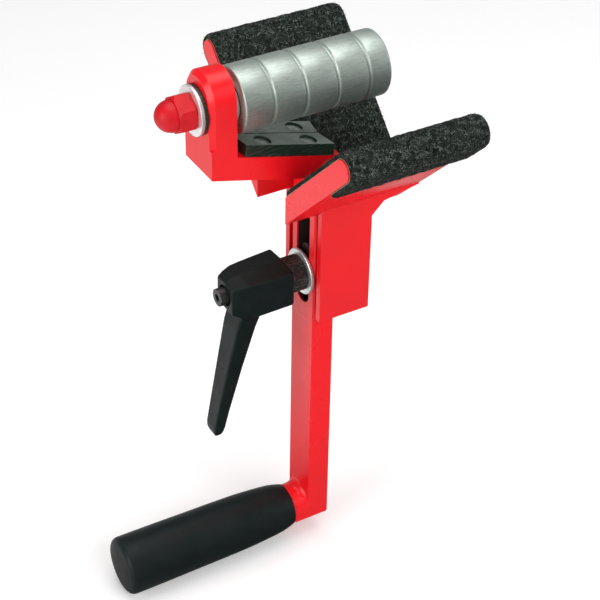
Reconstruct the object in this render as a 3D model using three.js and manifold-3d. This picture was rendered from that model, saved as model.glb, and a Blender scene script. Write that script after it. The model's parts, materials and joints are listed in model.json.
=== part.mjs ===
// Chamfering tool for the ends of plastic pipes, turned by hand.
// Millimetres. X runs along the roller away from the head, -Y faces the viewer, Z is up along the bar.
// The origin is where the roller's axis meets the face that the pipe end runs against.

import * as THREE from 'three';
import { mergeVertices } from 'three/addons/utils/BufferGeometryUtils.js';
import Module from 'manifold-3d';

const wasm = await Module();
wasm.setup();

// Fits and gaps
const seatGap = 0.3;
const slideGap = 0.12;
const runGap = 0.05;
const cutOverrun = 4;

// Roundness of turned shapes
const fineFacets = 48;
const mediumFacets = 32;
const smallFacets = 20;

// Bar that carries the head and the crank grip
const barWidth = 25;
const barDepth = 14;
const barLeftX = 49;
const barBottomZ = -304.6;
const barEdge = 1;
const barCentreShare = 0.5;
const slotWidth = 14;
const slotBottomZ = -143.7;
const slotTopZ = -78;
const footReach = 9;
const footFillet = 5;
const filletFacets = 8;

// Head: a leg with a rounded top and a sloping foot
const headWidth = 30;
const headEdge = 0.8;
const legThickness = 15;
const legArchZ = 6;
const legBevel = 2.6;
const footSlope = THREE.MathUtils.degToRad(15);
const legCornerZ = -35.4;
const footDeckZ = -25.5;

// Blades on the sloping deck
const bladeThickness = 6;
const bladeStart = 2;
const bladeEnd = 60;
const bladeGap = 0.8;
const bladeSkew = 3;
const bladeBevel = 1.6;
const bladeScrewPlaces = [17.6, 46.4];
const bladeScrewY = 7.6;
const bladeHeadRadius = 4.6;
const bladeHeadHeight = 2.8;
const bladeHeadSink = 1.3;
const bladeShankRadius = 2.5;
const bladeScrewReach = 12;
const hexSocketRadius = 1.7;
const hexSocketDepth = 1.6;

// Screws that hold the foot on the bar
const headScrewY = 6.5;
const headScrewRadius = 2.5;
const headScrewHeadRadius = 4.25;
const headScrewHeadHeight = 5;
const headScrewSink = 2.6;
const headScrewLength = 22;

// Roller and its axle
const rollerRadius = 18.3;
const rollerStart = 3.7;
const rollerEnd = 91;
const rollerRim = 1.2;
const grooveWidth = 3.1;
const grooveDepth = 1.1;
const groovePlaces = [20.3, 39.4, 58.5, 77.6];
const rollerWall = 3.8;
const rollerWebLeft = 12;
const rollerWebRight = 12;
const bushRadius = 10;
const bushLength = 12;
const bushFlange = 1.6;
const bushFlangeRadius = 11.6;
const axleRadius = 6;
const axleSetback = 2.4;
const ringGrooveRadius = 5.2;
const endWasherRadius = 10;
const endWasherThickness = 1.6;
const endRecess = 6;
const retainThickness = 1.2;
const retainRadius = 8;
const spacerRadius = 11.5;
const spacerThickness = 3;

// Nut, washer and ring on the outside of the leg
const ringThickness = 2.2;
const ringRadius = 14.7;
const washerThickness = 2;
const washerRadius = 13.7;
const washerChamfer = 0.4;
const nutFlats = 19;
const nutBase = 10.2;
const nutDome = 8.6;
const nutLength = 19.6;
const nutBlindShare = 0.78;

// Grip
const gripAxisZ = -299.1;
// Its outline: the radii, and where they lie as shares of the length from the end at the bar
const gripRadii = [13.1, 14, 15.3, 16.8, 17.2, 17.6, 18];
const gripPlaceShares = [0, 0.026, 0.079, 0.247, 0.352, 0.6, 0.88];
const gripLength = 113.5;
const gripRim = 4;
const gripDome = 1.2;
const rimFacets = 6;
const spindleRadius = 5;
const spindleThreadRadius = 4;
const gripEndWall = 18.5;
const snapSetback = 5;
const snapThickness = 1.6;
const snapRadius = 6.6;
const snapRoom = 0.4;
const spindleThreadLength = 12;

// Saddle: a V of two arms, two side plates and a web behind the bar
const saddleInside = 31;
const plateThickness = 4;
const plateRightX = 81.5;
const saddleBottomZ = -147;
const armLeftX = 28.3;
const armRightX = 111.8;
const armUndersideZ = -91.4;
const armThickness = 12.3;
const armLength = 113;
const armSlope = THREE.MathUtils.degToRad(45);
const gussetDrop = 8.6;
const gussetRise = 7.5;
const gussetRun = 7.5;
const gussetEndDepth = 3.2;
const tipFacets = 10;
const webThickness = 7.5;
const webTopZ = -90;
const tongueAbove = 17;
const tongueReach = 11;

// Felt pads
const feltThickness = 3.2;
const feltInset = 0.8;
const feltTail = 21;

// Clamp
const studZ = -122.7;
const studRadius = 6;
const clampNutHeight = 20;
const clampNutThickness = 8;
const clampNutSlack = 0.6;
const insertLength = 10.5;
const insertRadius = 10.6;
const insertRidges = 36;
const insertRidgeDepth = 0.5;
const toothCount = 18;
const toothTipRadius = 9.4;
const toothRootRadius = 8.4;
const toothGap = 0.1;
const toothLength = 3.4;
const neckLength = 14.5;
const liftStroke = 4;
const leverScrewRadius = 3;
const leverScrewHeadRadius = 5.2;
const leverScrewHeadHeight = 6;
const leverScrewHeadReach = 41.8;
const leverScrewRoom = 1.2;
const leverSocketRadius = 2.5;
const leverShoulderReach = 19;
const leverShoulderThickness = 3;
const springRadius = 5;
const springWire = 1;
const springCoils = 3;
const springPitch = 2.2;

// Lever handle: sections of its hub, as the distance from its right face, half width, top and bottom
const hubSections = [
  [0, 13.3, 11.4, 10.4], [1.5, 14, 12.3, 11.3], [21, 12.9, 12.1, 12.2], [28, 12.1, 11.6, 12.3],
  [33, 10.6, 10.6, 10.8], [37, 8.7, 9.2, 8.6],
];
const hubCornerShare = 0.1;
// Its arm down to the tip, as the distance of its middle from the hub's right face, the drop below the stud,
// half depth and half width
const armSections = [
  [22.5, 6, 7.2, 9], [24.6, 13.7, 6.8, 8.9], [27.6, 22, 6.2, 8.7], [34.6, 50, 5, 7.2], [41.4, 79, 3.9, 6],
  [43.8, 90, 3.5, 5.8], [44.6, 96, 2.2, 4.6],
];
const armCornerShare = 0.22;

// Finishes
const redPaint = { color: 0xd8141f, roughness: 0.32, metalness: 0 };
const aluminium = { color: 0xa9b0aa, roughness: 0.38, metalness: 1 };
const blackSteel = { color: 0x22251f, roughness: 0.45, metalness: 0.6 };
const zincSteel = { color: 0xd9dcdc, roughness: 0.3, metalness: 1 };
const blackPlastic = { color: 0x16211f, roughness: 0.5, metalness: 0 };
const greyFelt = { color: 0x2c2e30, roughness: 0.95, metalness: 0 };
const bronze = { color: 0x9a7136, roughness: 0.45, metalness: 1 };

// Half of a size, used for widths that lie evenly about an axis
const half = (value) => value / 2;

// Turns a three.js geometry into a closed solid
function solid(geometry) {
  const bare = geometry.index ? geometry.toNonIndexed() : geometry.clone();
  bare.deleteAttribute('normal');
  bare.deleteAttribute('uv');
  const merged = mergeVertices(bare, 1e-5);
  const vertProperties = new Float32Array(merged.attributes.position.array);
  const triVerts = new Uint32Array(merged.index.array);
  return new wasm.Manifold(new wasm.Mesh({ numProp: 3, vertProperties, triVerts }));
}

// Turns a closed solid back into a three.js geometry
function geometryOf(body) {
  const mesh = body.getMesh();
  const geometry = new THREE.BufferGeometry();
  geometry.setAttribute('position', new THREE.BufferAttribute(new Float32Array(mesh.vertProperties), 3));
  geometry.setIndex(new THREE.BufferAttribute(new Uint32Array(mesh.triVerts), 1));
  geometry.computeVertexNormals();
  return geometry;
}

// Makes a flat outline from pairs of numbers
function outlineOf(points) {
  return new THREE.Shape(points.map(([a, b]) => new THREE.Vector2(a, b)));
}

// Pushes a flat outline to a depth without rounding
function pushed(points, depth) {
  return new THREE.ExtrudeGeometry(outlineOf(points), { depth, bevelEnabled: false, steps: 1 });
}

// Outline given as y and z, pushed from one x to another
function alongX(points, fromX, toX) {
  const geometry = pushed(points, toX - fromX);
  const turn = new THREE.Matrix4().makeBasis(
    new THREE.Vector3(0, 1, 0), new THREE.Vector3(0, 0, 1), new THREE.Vector3(1, 0, 0));
  geometry.applyMatrix4(turn);
  geometry.translate(fromX, 0, 0);
  return solid(geometry);
}

// Outline given as x and z, pushed evenly to both sides of y, or from one y to another
function alongY(points, fromY, toY) {
  const geometry = pushed(points, toY - fromY);
  geometry.rotateX(half(Math.PI));
  geometry.translate(0, toY, 0);
  return solid(geometry);
}

// Outline given as x and y, pushed from one z to another
function alongZ(points, fromZ, toZ) {
  const geometry = pushed(points, toZ - fromZ);
  geometry.translate(0, 0, fromZ);
  return solid(geometry);
}

// Turned shape about the x axis, from pairs of x and radius that start and end on the axis
function turned(profile, facets) {
  const points = profile.map(([x, radius]) => new THREE.Vector2(radius, x));
  const geometry = new THREE.LatheGeometry(points, facets);
  geometry.rotateZ(-half(Math.PI));
  const body = solid(geometry);
  return body;
}

// Round bar about the x axis
function rod(radius, fromX, toX, facets) {
  return turned([[fromX, 0], [fromX, radius], [toX, radius], [toX, 0]], facets);
}

// Ring about the x axis with small chamfers on its outer edges
function ring(outer, inner, fromX, toX, chamfer, facets) {
  const body = turned([
    [fromX, 0], [fromX, outer - chamfer], [fromX + chamfer, outer],
    [toX - chamfer, outer], [toX, outer - chamfer], [toX, 0],
  ], facets);
  return body.subtract(rod(inner, fromX - cutOverrun, toX + cutOverrun, facets));
}

// Regular outline with straight sides, given the radius of its corners
function regular(radius, sides, turn) {
  const points = [];
  for (let i = 0; i < sides; i += 1) {
    const angle = turn + (2 * Math.PI * i) / sides;
    points.push([radius * Math.cos(angle), radius * Math.sin(angle)]);
  }
  return points;
}

// Outline whose radius swings between two values, as on a knurled rim or a set of teeth
function toothed(tip, root, count) {
  const points = [];
  for (let i = 0; i < 2 * count; i += 1) {
    const angle = (Math.PI * i) / count;
    const radius = i % 2 === 0 ? tip : root;
    points.push([radius * Math.cos(angle), radius * Math.sin(angle)]);
  }
  return points;
}

// Arc as a list of points
function arc(centre, radius, from, to, facets) {
  const points = [];
  for (let i = 0; i <= facets; i += 1) {
    const angle = from + ((to - from) * i) / facets;
    points.push([centre[0] + radius * Math.cos(angle), centre[1] + radius * Math.sin(angle)]);
  }
  return points;
}

// Rectangle with cut corners
function cutRectangle(minA, maxA, minB, maxB, cut) {
  return [
    [minA + cut, minB], [maxA - cut, minB], [maxA, minB + cut], [maxA, maxB - cut],
    [maxA - cut, maxB], [minA + cut, maxB], [minA, maxB - cut], [minA, minB + cut],
  ];
}

// Solid through a row of rings that have equal numbers of points
function loft(rings) {
  const count = rings[0].length;
  const positions = [];
  const triangle = (a, b, c) => positions.push(...a, ...b, ...c);
  for (let r = 0; r + 1 < rings.length; r += 1) {
    for (let i = 0; i < count; i += 1) {
      const next = (i + 1) % count;
      triangle(rings[r][i], rings[r][next], rings[r + 1][next]);
      triangle(rings[r][i], rings[r + 1][next], rings[r + 1][i]);
    }
  }
  const first = rings[0];
  const last = rings[rings.length - 1];
  for (let i = 1; i + 1 < count; i += 1) {
    triangle(first[0], first[i + 1], first[i]);
    triangle(last[0], last[i], last[i + 1]);
  }
  const geometry = new THREE.BufferGeometry();
  geometry.setAttribute('position', new THREE.BufferAttribute(new Float32Array(positions), 3));
  return solid(geometry);
}

// A solid moved to a place
const moved = (body, x, y, z) => body.translate([x, y, z]);

const group = new THREE.Group();
group.name = 'pipe_chamfering_tool';

// Adds a named mesh with its own finish
function add(parent, name, body, finish, place = [0, 0, 0]) {
  const mesh = new THREE.Mesh(geometryOf(body), new THREE.MeshStandardMaterial({ ...finish }));
  mesh.name = name;
  mesh.position.set(...place);
  parent.add(mesh);
  return mesh;
}

// Values that follow from the sizes above
const barRightX = barLeftX + barDepth;
const barMidX = barLeftX + barDepth * barCentreShare;
const slopeRise = Math.tan(footSlope);
const footUnderZ = (x) => legCornerZ - (x + legThickness) * slopeRise;
const deckZ = (x) => footDeckZ - x * slopeRise;
const washerFaceX = barLeftX - slideGap;
const insertFaceX = washerFaceX - washerThickness - slideGap;
const tongueStartZ = studZ + studRadius + runGap;
const insertEndX = insertFaceX - insertLength;
const hubRightX = insertEndX - seatGap;
const neckEndX = hubRightX - neckLength;
const leverScrewHeadX = hubRightX - leverScrewHeadReach;
const leverShoulderX = hubRightX - leverShoulderReach;
const gripStartX = barLeftX - footReach - seatGap;
const gripEndX = gripStartX - gripLength;
const spindleEndX = gripEndX + gripEndWall;
const snapPlace = spindleEndX + snapSetback;
const spindleInX = barLeftX - footReach + spindleThreadLength;

// Sloping deck on which the blades lie, as a group turned with the foot
const deck = new THREE.Group();
deck.name = 'deck';
deck.position.set(0, 0, footDeckZ);
deck.rotation.y = footSlope;
group.add(deck);

// A cutter given in the deck's own frame, turned into the frame of the head
function fromDeck(body) {
  return body.rotate([0, THREE.MathUtils.radToDeg(footSlope), 0]).translate([0, 0, footDeckZ]);
}

// Upright round hole or shank at a place in x and y
function upright(radius, x, y, fromZ, toZ, facets) {
  const outline = regular(radius, facets, 0).map(([a, b]) => [a + x, b + y]);
  return alongZ(outline, fromZ, toZ);
}

// Crank bar with its slot, its turned lower end and its sloping top
function crankBar() {
  const upright = alongZ(
    cutRectangle(barLeftX, barRightX, -half(barWidth), half(barWidth), barEdge),
    barBottomZ, footUnderZ(barLeftX));
  const footLeft = barLeftX - footReach;
  const footRing = (x, rise) => [
    [x, -half(barWidth), barBottomZ], [x, half(barWidth), barBottomZ],
    ...arc([0, 0], 1, 0, Math.PI, mediumFacets).map(([a, b]) => [
      x, half(barWidth) * a, gripAxisZ + (half(barWidth) + rise) * b]),
  ];
  const filletRings = arc([0, 0], footFillet, half(Math.PI), 0, filletFacets).map(([a, b]) => (
    footRing(barLeftX - footFillet + a, footFillet - b)));
  const foot = loft([footRing(footLeft, 0), ...filletRings, footRing(barLeftX + barEdge, footFillet)]);
  const slotHalf = half(slotWidth);
  const slot = alongX([
    ...arc([0, slotTopZ - slotHalf], slotHalf, 0, Math.PI, mediumFacets),
    ...arc([0, slotBottomZ + slotHalf], slotHalf, Math.PI, 2 * Math.PI, mediumFacets),
  ], barLeftX - cutOverrun, barRightX + cutOverrun);
  const above = footUnderZ(barLeftX) + cutOverrun;
  const slopeCut = alongY([
    [barLeftX - cutOverrun, footUnderZ(barLeftX - cutOverrun) - seatGap], [barRightX + cutOverrun,
      footUnderZ(barRightX + cutOverrun) - seatGap], [barRightX + cutOverrun, above],
    [barLeftX - cutOverrun, above],
  ], -barWidth, barWidth);
  const thread = moved(rod(spindleThreadRadius + runGap, footLeft - cutOverrun, spindleInX + seatGap,
    mediumFacets), 0, 0, gripAxisZ);
  let body = upright.add(foot).subtract(slot).subtract(slopeCut).subtract(thread);
  for (const y of [-headScrewY, headScrewY]) {
    body = body.subtract(headScrewHole(y, headScrewRadius + runGap));
  }
  return body;
}

// Top of the heads of the two screws that hold the foot
const headScrewTopZ = deckZ(barMidX) - headScrewSink;

// Hole for a screw between the foot and the bar
function headScrewHole(y, radius) {
  const bottom = headScrewTopZ - headScrewHeadHeight - headScrewLength - seatGap;
  return upright(radius, barMidX, y, bottom, headScrewTopZ, smallFacets);
}

// Head block: leg with an arched top, sloping foot and the holes for axle and screws
function headBlock() {
  const side = half(headWidth);
  const outline = (shrink) => [
    [-side + shrink, legCornerZ - legThickness], [side - shrink, legCornerZ - legThickness],
    ...arc([0, legArchZ], side - shrink, 0, Math.PI, mediumFacets),
  ];
  const ringAt = (x, shrink) => outline(shrink).map(([y, z]) => [x, y, z]);
  const leg = loft([
    ringAt(-legThickness, legBevel), ringAt(-legThickness + legBevel, 0), ringAt(0, 0),
  ]);
  const front = alongY([
    [-legThickness - cutOverrun, legCornerZ + cutOverrun * slopeRise],
    [0, footUnderZ(0)], [barRightX, footUnderZ(barRightX)], [barRightX, deckZ(barRightX)], [0, deckZ(0)],
    [0, legArchZ + headWidth], [-legThickness - cutOverrun, legArchZ + headWidth],
  ], -side, side);
  const lowLeg = alongY([
    [-legThickness, legCornerZ], [0, footUnderZ(0)], [0, -rollerRadius], [-legThickness, -rollerRadius],
  ], -side, side);
  const foot = alongY([
    [-legThickness, legCornerZ], [barRightX, footUnderZ(barRightX)],
    [barRightX, deckZ(barRightX)], [0, deckZ(0)],
    [-legThickness, deckZ(0)],
  ], -side, side);
  let body = leg.intersect(front).add(foot).add(lowLeg);
  body = body.subtract(rod(axleRadius + runGap, -legThickness - cutOverrun, cutOverrun, fineFacets));
  for (const y of [-headScrewY, headScrewY]) {
    body = body.subtract(headScrewHole(y, headScrewRadius + runGap));
    body = body.subtract(upright(headScrewHeadRadius + seatGap, barMidX, y,
      headScrewTopZ - headScrewHeadHeight - seatGap, headScrewTopZ + headScrewHeadHeight + cutOverrun,
      mediumFacets));
  }
  for (const x of bladeScrewPlaces) {
    for (const y of [-bladeScrewY, bladeScrewY]) {
      body = body.subtract(fromDeck(upright(bladeShankRadius + runGap, x, y,
        bladeThickness - bladeHeadSink - bladeScrewReach - seatGap, cutOverrun, smallFacets)));
    }
  }
  return body;
}

// One blade in the deck's frame, with its outer edge bevelled and two counterbored holes
function blade(side) {
  const outer = half(headWidth);
  const inner = half(bladeGap);
  const low = seatGap;
  const top = seatGap + bladeThickness;
  const ringAt = (z, edge) => [
    [bladeStart, side * inner, z], [bladeEnd - bladeSkew, side * inner, z],
    [bladeEnd, side * edge, z], [bladeStart + bladeSkew, side * edge, z],
  ];
  const order = (points) => (side > 0 ? points : points.slice().reverse());
  const body = loft([
    order(ringAt(low, outer)), order(ringAt(top, outer - bladeBevel)),
  ]);
  let cut = body;
  for (const x of bladeScrewPlaces) {
    cut = cut.subtract(upright(bladeShankRadius + seatGap, x, side * bladeScrewY, -cutOverrun, top, smallFacets));
    cut = cut.subtract(upright(bladeHeadRadius + seatGap, x, side * bladeScrewY,
      top - bladeHeadSink - bladeHeadHeight - seatGap - seatGap, top + cutOverrun, mediumFacets));
  }
  return cut;
}

// Screw with a flat round head and a hexagon socket, standing on its own origin at the top of the head
function socketScrew(headRadius, headHeight, shankRadius, length) {
  const head = upright(headRadius, 0, 0, -headHeight, 0, mediumFacets);
  const shank = upright(shankRadius, 0, 0, -headHeight - length, -half(headHeight), smallFacets);
  const socket = alongZ(regular(hexSocketRadius, 6, 0), -hexSocketDepth, cutOverrun);
  return head.add(shank).subtract(socket);
}

// Axle through the leg and the roller, with a groove for the retaining ring
const washerPlace = -legThickness - ringThickness - washerThickness;
const axleStartX = washerPlace - nutLength * nutBlindShare + seatGap + seatGap;
const retainPlace = rollerEnd - endRecess + endWasherThickness + seatGap;
const axleEndX = rollerEnd - axleSetback;
function axle() {
  const body = rod(axleRadius, axleStartX, axleEndX, fineFacets);
  const groove = ring(axleRadius + cutOverrun, ringGrooveRadius, retainPlace, retainPlace + retainThickness
    + seatGap, 0, mediumFacets);
  return body.subtract(groove);
}

// Cap nut: a hexagon base, a waist and a dome, with a blind hole
function capNut() {
  const corner = half(nutFlats) / Math.cos(Math.PI / 6);
  const hexagon = alongX(regular(corner, 6, half(Math.PI)), washerPlace - nutBase, washerPlace);
  const flats = turned([
    [washerPlace - nutBase, 0], [washerPlace - nutBase, half(nutFlats)],
    [washerPlace - nutBase + corner - half(nutFlats), corner], [washerPlace - corner + half(nutFlats), corner],
    [washerPlace, half(nutFlats)], [washerPlace, 0],
  ], mediumFacets);
  const domeEnd = washerPlace - nutLength;
  const dome = turned([
    [domeEnd, 0],
    ...arc([domeEnd + nutDome, 0], nutDome, Math.PI, half(Math.PI), filletFacets).slice(1),
    [washerPlace - half(nutBase), nutDome], [washerPlace - half(nutBase), 0],
  ], mediumFacets);
  const holeEnd = washerPlace - nutLength * nutBlindShare;
  const hole = rod(axleRadius + runGap, holeEnd, washerPlace + cutOverrun, mediumFacets);
  return hexagon.intersect(flats).add(dome).subtract(hole);
}

// Roller with rounded ends, four grooves, a hollow core and seats for its bushes
function roller() {
  const profile = [[rollerStart, 0], [rollerStart, rollerRadius - rollerRim], [rollerStart + rollerRim, rollerRadius]];
  for (const place of groovePlaces) {
    profile.push([place - half(grooveWidth), rollerRadius]);
    profile.push([place - half(grooveWidth) + grooveDepth, rollerRadius - grooveDepth]);
    profile.push([place + half(grooveWidth) - grooveDepth, rollerRadius - grooveDepth]);
    profile.push([place + half(grooveWidth), rollerRadius]);
  }
  profile.push([rollerEnd - rollerRim, rollerRadius], [rollerEnd, rollerRadius - rollerRim], [rollerEnd, 0]);
  const outside = turned(profile, fineFacets);
  const bore = rod(bushRadius + runGap, rollerStart - cutOverrun, rollerEnd + cutOverrun, fineFacets);
  const core = rod(rollerRadius - rollerWall, rollerStart + rollerWebLeft,
    rollerEnd - endRecess - rollerWebRight, fineFacets);
  const flangeSeat = rod(bushFlangeRadius + seatGap, rollerStart - cutOverrun, rollerStart + bushFlange + seatGap,
    fineFacets);
  const farRecess = rod(bushFlangeRadius + seatGap, rollerEnd - endRecess - bushFlange - seatGap,
    rollerEnd + cutOverrun, fineFacets);
  return outside.subtract(bore).subtract(core).subtract(flangeSeat).subtract(farRecess);
}

// Flanged bush, with the flange at one end
function bush(flangeX, direction) {
  const inside = flangeX + direction * bushLength;
  const flangeEnd = flangeX + direction * bushFlange;
  const sleeve = rod(bushRadius, Math.min(flangeX, inside), Math.max(flangeX, inside), fineFacets);
  const flange = rod(bushFlangeRadius, Math.min(flangeX, flangeEnd), Math.max(flangeX, flangeEnd), fineFacets);
  const bore = rod(axleRadius + runGap, Math.min(flangeX, inside) - cutOverrun, Math.max(flangeX, inside)
    + cutOverrun, fineFacets);
  return sleeve.add(flange).subtract(bore);
}

// Open retaining ring that sits in the axle's groove
function retainingRing() {
  const body = ring(retainRadius, ringGrooveRadius + runGap, retainPlace + half(seatGap),
    retainPlace + half(seatGap) + retainThickness, 0, mediumFacets);
  const opening = alongX([[-retainThickness, 0], [retainThickness, 0], [retainThickness, washerRadius], [-retainThickness,
    washerRadius]],
    retainPlace - cutOverrun, retainPlace + cutOverrun);
  return body.subtract(opening);
}

// Grip: a long turned handle that widens towards its domed end, with a blind bore
function grip() {
  const lastRadius = gripRadii[gripRadii.length - 1];
  const rim = arc([gripEndX + gripRim, lastRadius - gripRim], gripRim, half(Math.PI), Math.PI, rimFacets);
  const profile = [
    [gripStartX, 0], ...gripRadii.map((radius, i) => [gripStartX - gripLength * gripPlaceShares[i], radius]),
    ...rim, [gripEndX - gripDome, 0],
  ];
  const outside = turned(profile.reverse(), fineFacets);
  const bore = rod(spindleRadius + runGap, spindleEndX - seatGap, gripStartX + cutOverrun, fineFacets);
  const groove = rod(snapRadius + snapRoom, snapPlace - snapRoom, snapPlace + snapThickness + snapRoom, mediumFacets);
  return moved(outside.subtract(bore).subtract(groove), 0, 0, gripAxisZ);
}

// Spindle on which the grip turns, held in the foot of the bar
function spindle() {
  const shoulder = barLeftX - footReach;
  const body = rod(spindleRadius, spindleEndX, shoulder, fineFacets);
  const thread = rod(spindleThreadRadius, half(spindleEndX + shoulder), spindleInX, fineFacets);
  const groove = ring(spindleRadius + cutOverrun, spindleRadius - half(snapThickness), snapPlace, snapPlace
    + snapThickness, 0, mediumFacets);
  return moved(body.add(thread).subtract(groove), 0, 0, gripAxisZ);
}

// Spring ring in the spindle's groove that keeps the grip on
function snapRing() {
  const body = ring(snapRadius, spindleRadius - half(snapThickness) + runGap, snapPlace + runGap,
    snapPlace + snapThickness - runGap, 0, mediumFacets);
  return moved(body, 0, 0, gripAxisZ);
}

// A point of the arm's section: along the arm and out from its underside, on one side of the bar
function onArm(side, along, out) {
  const y = along * Math.cos(armSlope) - out * Math.sin(armSlope);
  const z = armUndersideZ + along * Math.sin(armSlope) + out * Math.cos(armSlope);
  return [side * y, z];
}

// Where a line at a height above the arm's underside reaches a distance from the middle of the tool
const alongAt = (y, out) => (y + out * Math.sin(armSlope)) / Math.cos(armSlope);

// Outline of the V: both arms with their rounded tips, which meet in the middle
function vOutline() {
  const radius = half(armThickness);
  const tip = arc([armLength - radius, radius], radius, -half(Math.PI), half(Math.PI), tipFacets);
  const right = [
    onArm(1, 0, 0), ...tip.map(([a, b]) => onArm(1, a, b)), onArm(1, alongAt(0, armThickness), armThickness),
  ];
  const left = right.slice(1, -1).reverse().map(([y, z]) => [-y, z]);
  return [...right, ...left];
}

// Outline of one felt pad: over the arm, round its tip and a little way back underneath
function feltOutline(side) {
  const radius = half(armThickness);
  const gap = half(seatGap);
  const centre = [armLength - radius, radius];
  const outer = arc(centre, radius + gap + feltThickness, half(Math.PI), -half(Math.PI), tipFacets);
  const inner = arc(centre, radius + gap, -half(Math.PI), half(Math.PI), tipFacets);
  const tail = armLength - radius - feltTail;
  const low = armThickness + gap;
  const high = low + feltThickness;
  return [
    onArm(side, alongAt(gap, low), low), onArm(side, alongAt(gap, high), high),
    ...outer.map(([a, b]) => onArm(side, a, b)),
    onArm(side, tail, -gap - feltThickness), onArm(side, tail, -gap),
    ...inner.map(([a, b]) => onArm(side, a, b)),
  ];
}

// Room for the bar: left of the web, nothing of the V stands between the side plates
const notchEndX = barRightX + seatGap + half(webThickness);
function barNotch() {
  const side = half(saddleInside);
  return alongZ([
    [armLeftX - cutOverrun, -side], [notchEndX, -side], [notchEndX, side], [armLeftX - cutOverrun, side],
  ], saddleBottomZ, armLength);
}

// Outline in the order that a shape needs on either side
const ordered = (side, points) => (side > 0 ? points : points.slice().reverse());

// Saddle: both arms, side plates with gussets, web and the tongue that runs in the slot
function saddle() {
  const inside = half(saddleInside);
  let body = alongX(vOutline(), armLeftX, armRightX).subtract(barNotch());
  for (const side of [-1, 1]) {
    const armFoot = onArm(1, alongAt(inside, 0), 0)[1];
    const into = armFoot + plateThickness + half(armThickness);
    const plate = alongY([
      [barLeftX, saddleBottomZ], [plateRightX, saddleBottomZ], [plateRightX, armFoot - gussetDrop],
      [plateRightX + gussetRun, armFoot - gussetDrop + gussetRise], [armRightX, armFoot + gussetEndDepth],
      [armRightX, into], [barLeftX, into],
    ], Math.min(side * inside, side * (inside + plateThickness)), Math.max(side * inside, side * (inside
      + plateThickness)));
    body = body.add(plate);
  }
  const webLeft = barRightX + seatGap;
  const web = alongZ([
    [webLeft, -inside - half(plateThickness)], [webLeft + webThickness, -inside - half(plateThickness)],
    [webLeft + webThickness, inside + half(plateThickness)], [webLeft, inside + half(plateThickness)],
  ], saddleBottomZ, webTopZ);
  const tongueHalf = half(slotWidth) - slideGap;
  const tongue = alongX([
    [-tongueHalf, tongueStartZ], [tongueHalf, tongueStartZ],
    ...arc([0, studZ + tongueAbove - tongueHalf], tongueHalf, 0, Math.PI, mediumFacets),
  ], barRightX - tongueReach, webLeft + half(webThickness));
  const hole = moved(rod(studRadius + runGap, barLeftX - cutOverrun, webLeft + webThickness + cutOverrun, fineFacets),
    0, 0, studZ);
  return body.add(web).add(tongue).subtract(hole);
}

// Inner end of the stud's seat in the insert
const studEndX = neckEndX + leverShoulderThickness + leverShoulderThickness;

// Nut plate that fits between the side plates behind the web
const nutPlateX = barRightX + seatGap + webThickness + slideGap;
function clampNut() {
  const width = half(saddleInside) - half(clampNutSlack);
  const body = alongX(cutRectangle(-width, width, -half(clampNutHeight), half(clampNutHeight), barEdge),
    nutPlateX, nutPlateX + clampNutThickness);
  const farX = nutPlateX + clampNutThickness;
  const hole = rod(studRadius + runGap, nutPlateX - cutOverrun, farX + cutOverrun, fineFacets);
  return moved(body.subtract(hole), 0, 0, studZ);
}

// Stud from inside the insert to just past the nut plate
function clampStud() {
  return moved(rod(studRadius, studEndX, nutPlateX + clampNutThickness + washerThickness, fineFacets), 0, 0, studZ);
}

// Insert with a ridged rim and a toothed neck that the handle grips
function leverInsert() {
  const ridges = toothed(insertRadius, insertRadius - insertRidgeDepth, insertRidges);
  const rim = alongX(ridges, insertEndX, insertFaceX);
  const rimMiddle = half(insertEndX + insertFaceX);
  const teethEnd = insertEndX - toothLength;
  const teeth = alongX(toothed(toothTipRadius, toothRootRadius, toothCount), teethEnd, rimMiddle);
  const neck = rod(toothRootRadius - toothGap, neckEndX, rimMiddle, fineFacets);
  const hole = rod(studRadius + runGap, studEndX - seatGap, insertFaceX + cutOverrun, fineFacets);
  const thread = rod(leverScrewRadius + runGap, neckEndX - cutOverrun, insertEndX, smallFacets);
  return moved(rim.add(teeth).add(neck).subtract(hole).subtract(thread), 0, 0, studZ);
}

// Screw that holds the handle on the insert against its spring
function leverScrew() {
  const head = rod(leverScrewHeadRadius, leverScrewHeadX, leverScrewHeadX + leverScrewHeadHeight, mediumFacets);
  const shank = rod(leverScrewRadius, leverScrewHeadX, neckEndX + leverShoulderThickness, smallFacets);
  const socket = alongX(regular(leverSocketRadius, 6, 0), leverScrewHeadX - cutOverrun, leverScrewHeadX
    + half(leverScrewHeadHeight));
  return moved(head.add(shank).subtract(socket), 0, 0, studZ);
}

// Spring coil that lies against the handle's inner shoulder
function leverSpring() {
  const points = [];
  const steps = springCoils * smallFacets;
  const end = leverShoulderX - leverShoulderThickness - half(springWire) - half(seatGap);
  for (let i = 0; i <= steps; i += 1) {
    const angle = (2 * Math.PI * i) / smallFacets;
    points.push(new THREE.Vector3(
      end - (springPitch * i) / smallFacets, springRadius * Math.cos(angle), springRadius * Math.sin(angle)));
  }
  const path = new THREE.CatmullRomCurve3(points);
  const wire = outlineOf(regular(half(springWire), 8, 0));
  const geometry = new THREE.ExtrudeGeometry(wire, { steps, bevelEnabled: false, extrudePath: path });
  return moved(solid(geometry), 0, 0, studZ);
}

// Eight-sided ring of a lever section, flat across its middle
function eightSided(centreA, centreB, halfA, topB, bottomB, share, place) {
  const cutA = halfA * share;
  const cutTop = topB * share;
  const cutBottom = bottomB * share;
  return [
    [halfA, -bottomB + cutBottom], [halfA, topB - cutTop], [halfA - cutA, topB], [-halfA + cutA, topB],
    [-halfA, topB - cutTop], [-halfA, -bottomB + cutBottom], [-halfA + cutA, -bottomB], [halfA - cutA, -bottomB],
  ].map(([a, b]) => place(centreA + a, centreB + b));
}

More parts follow.
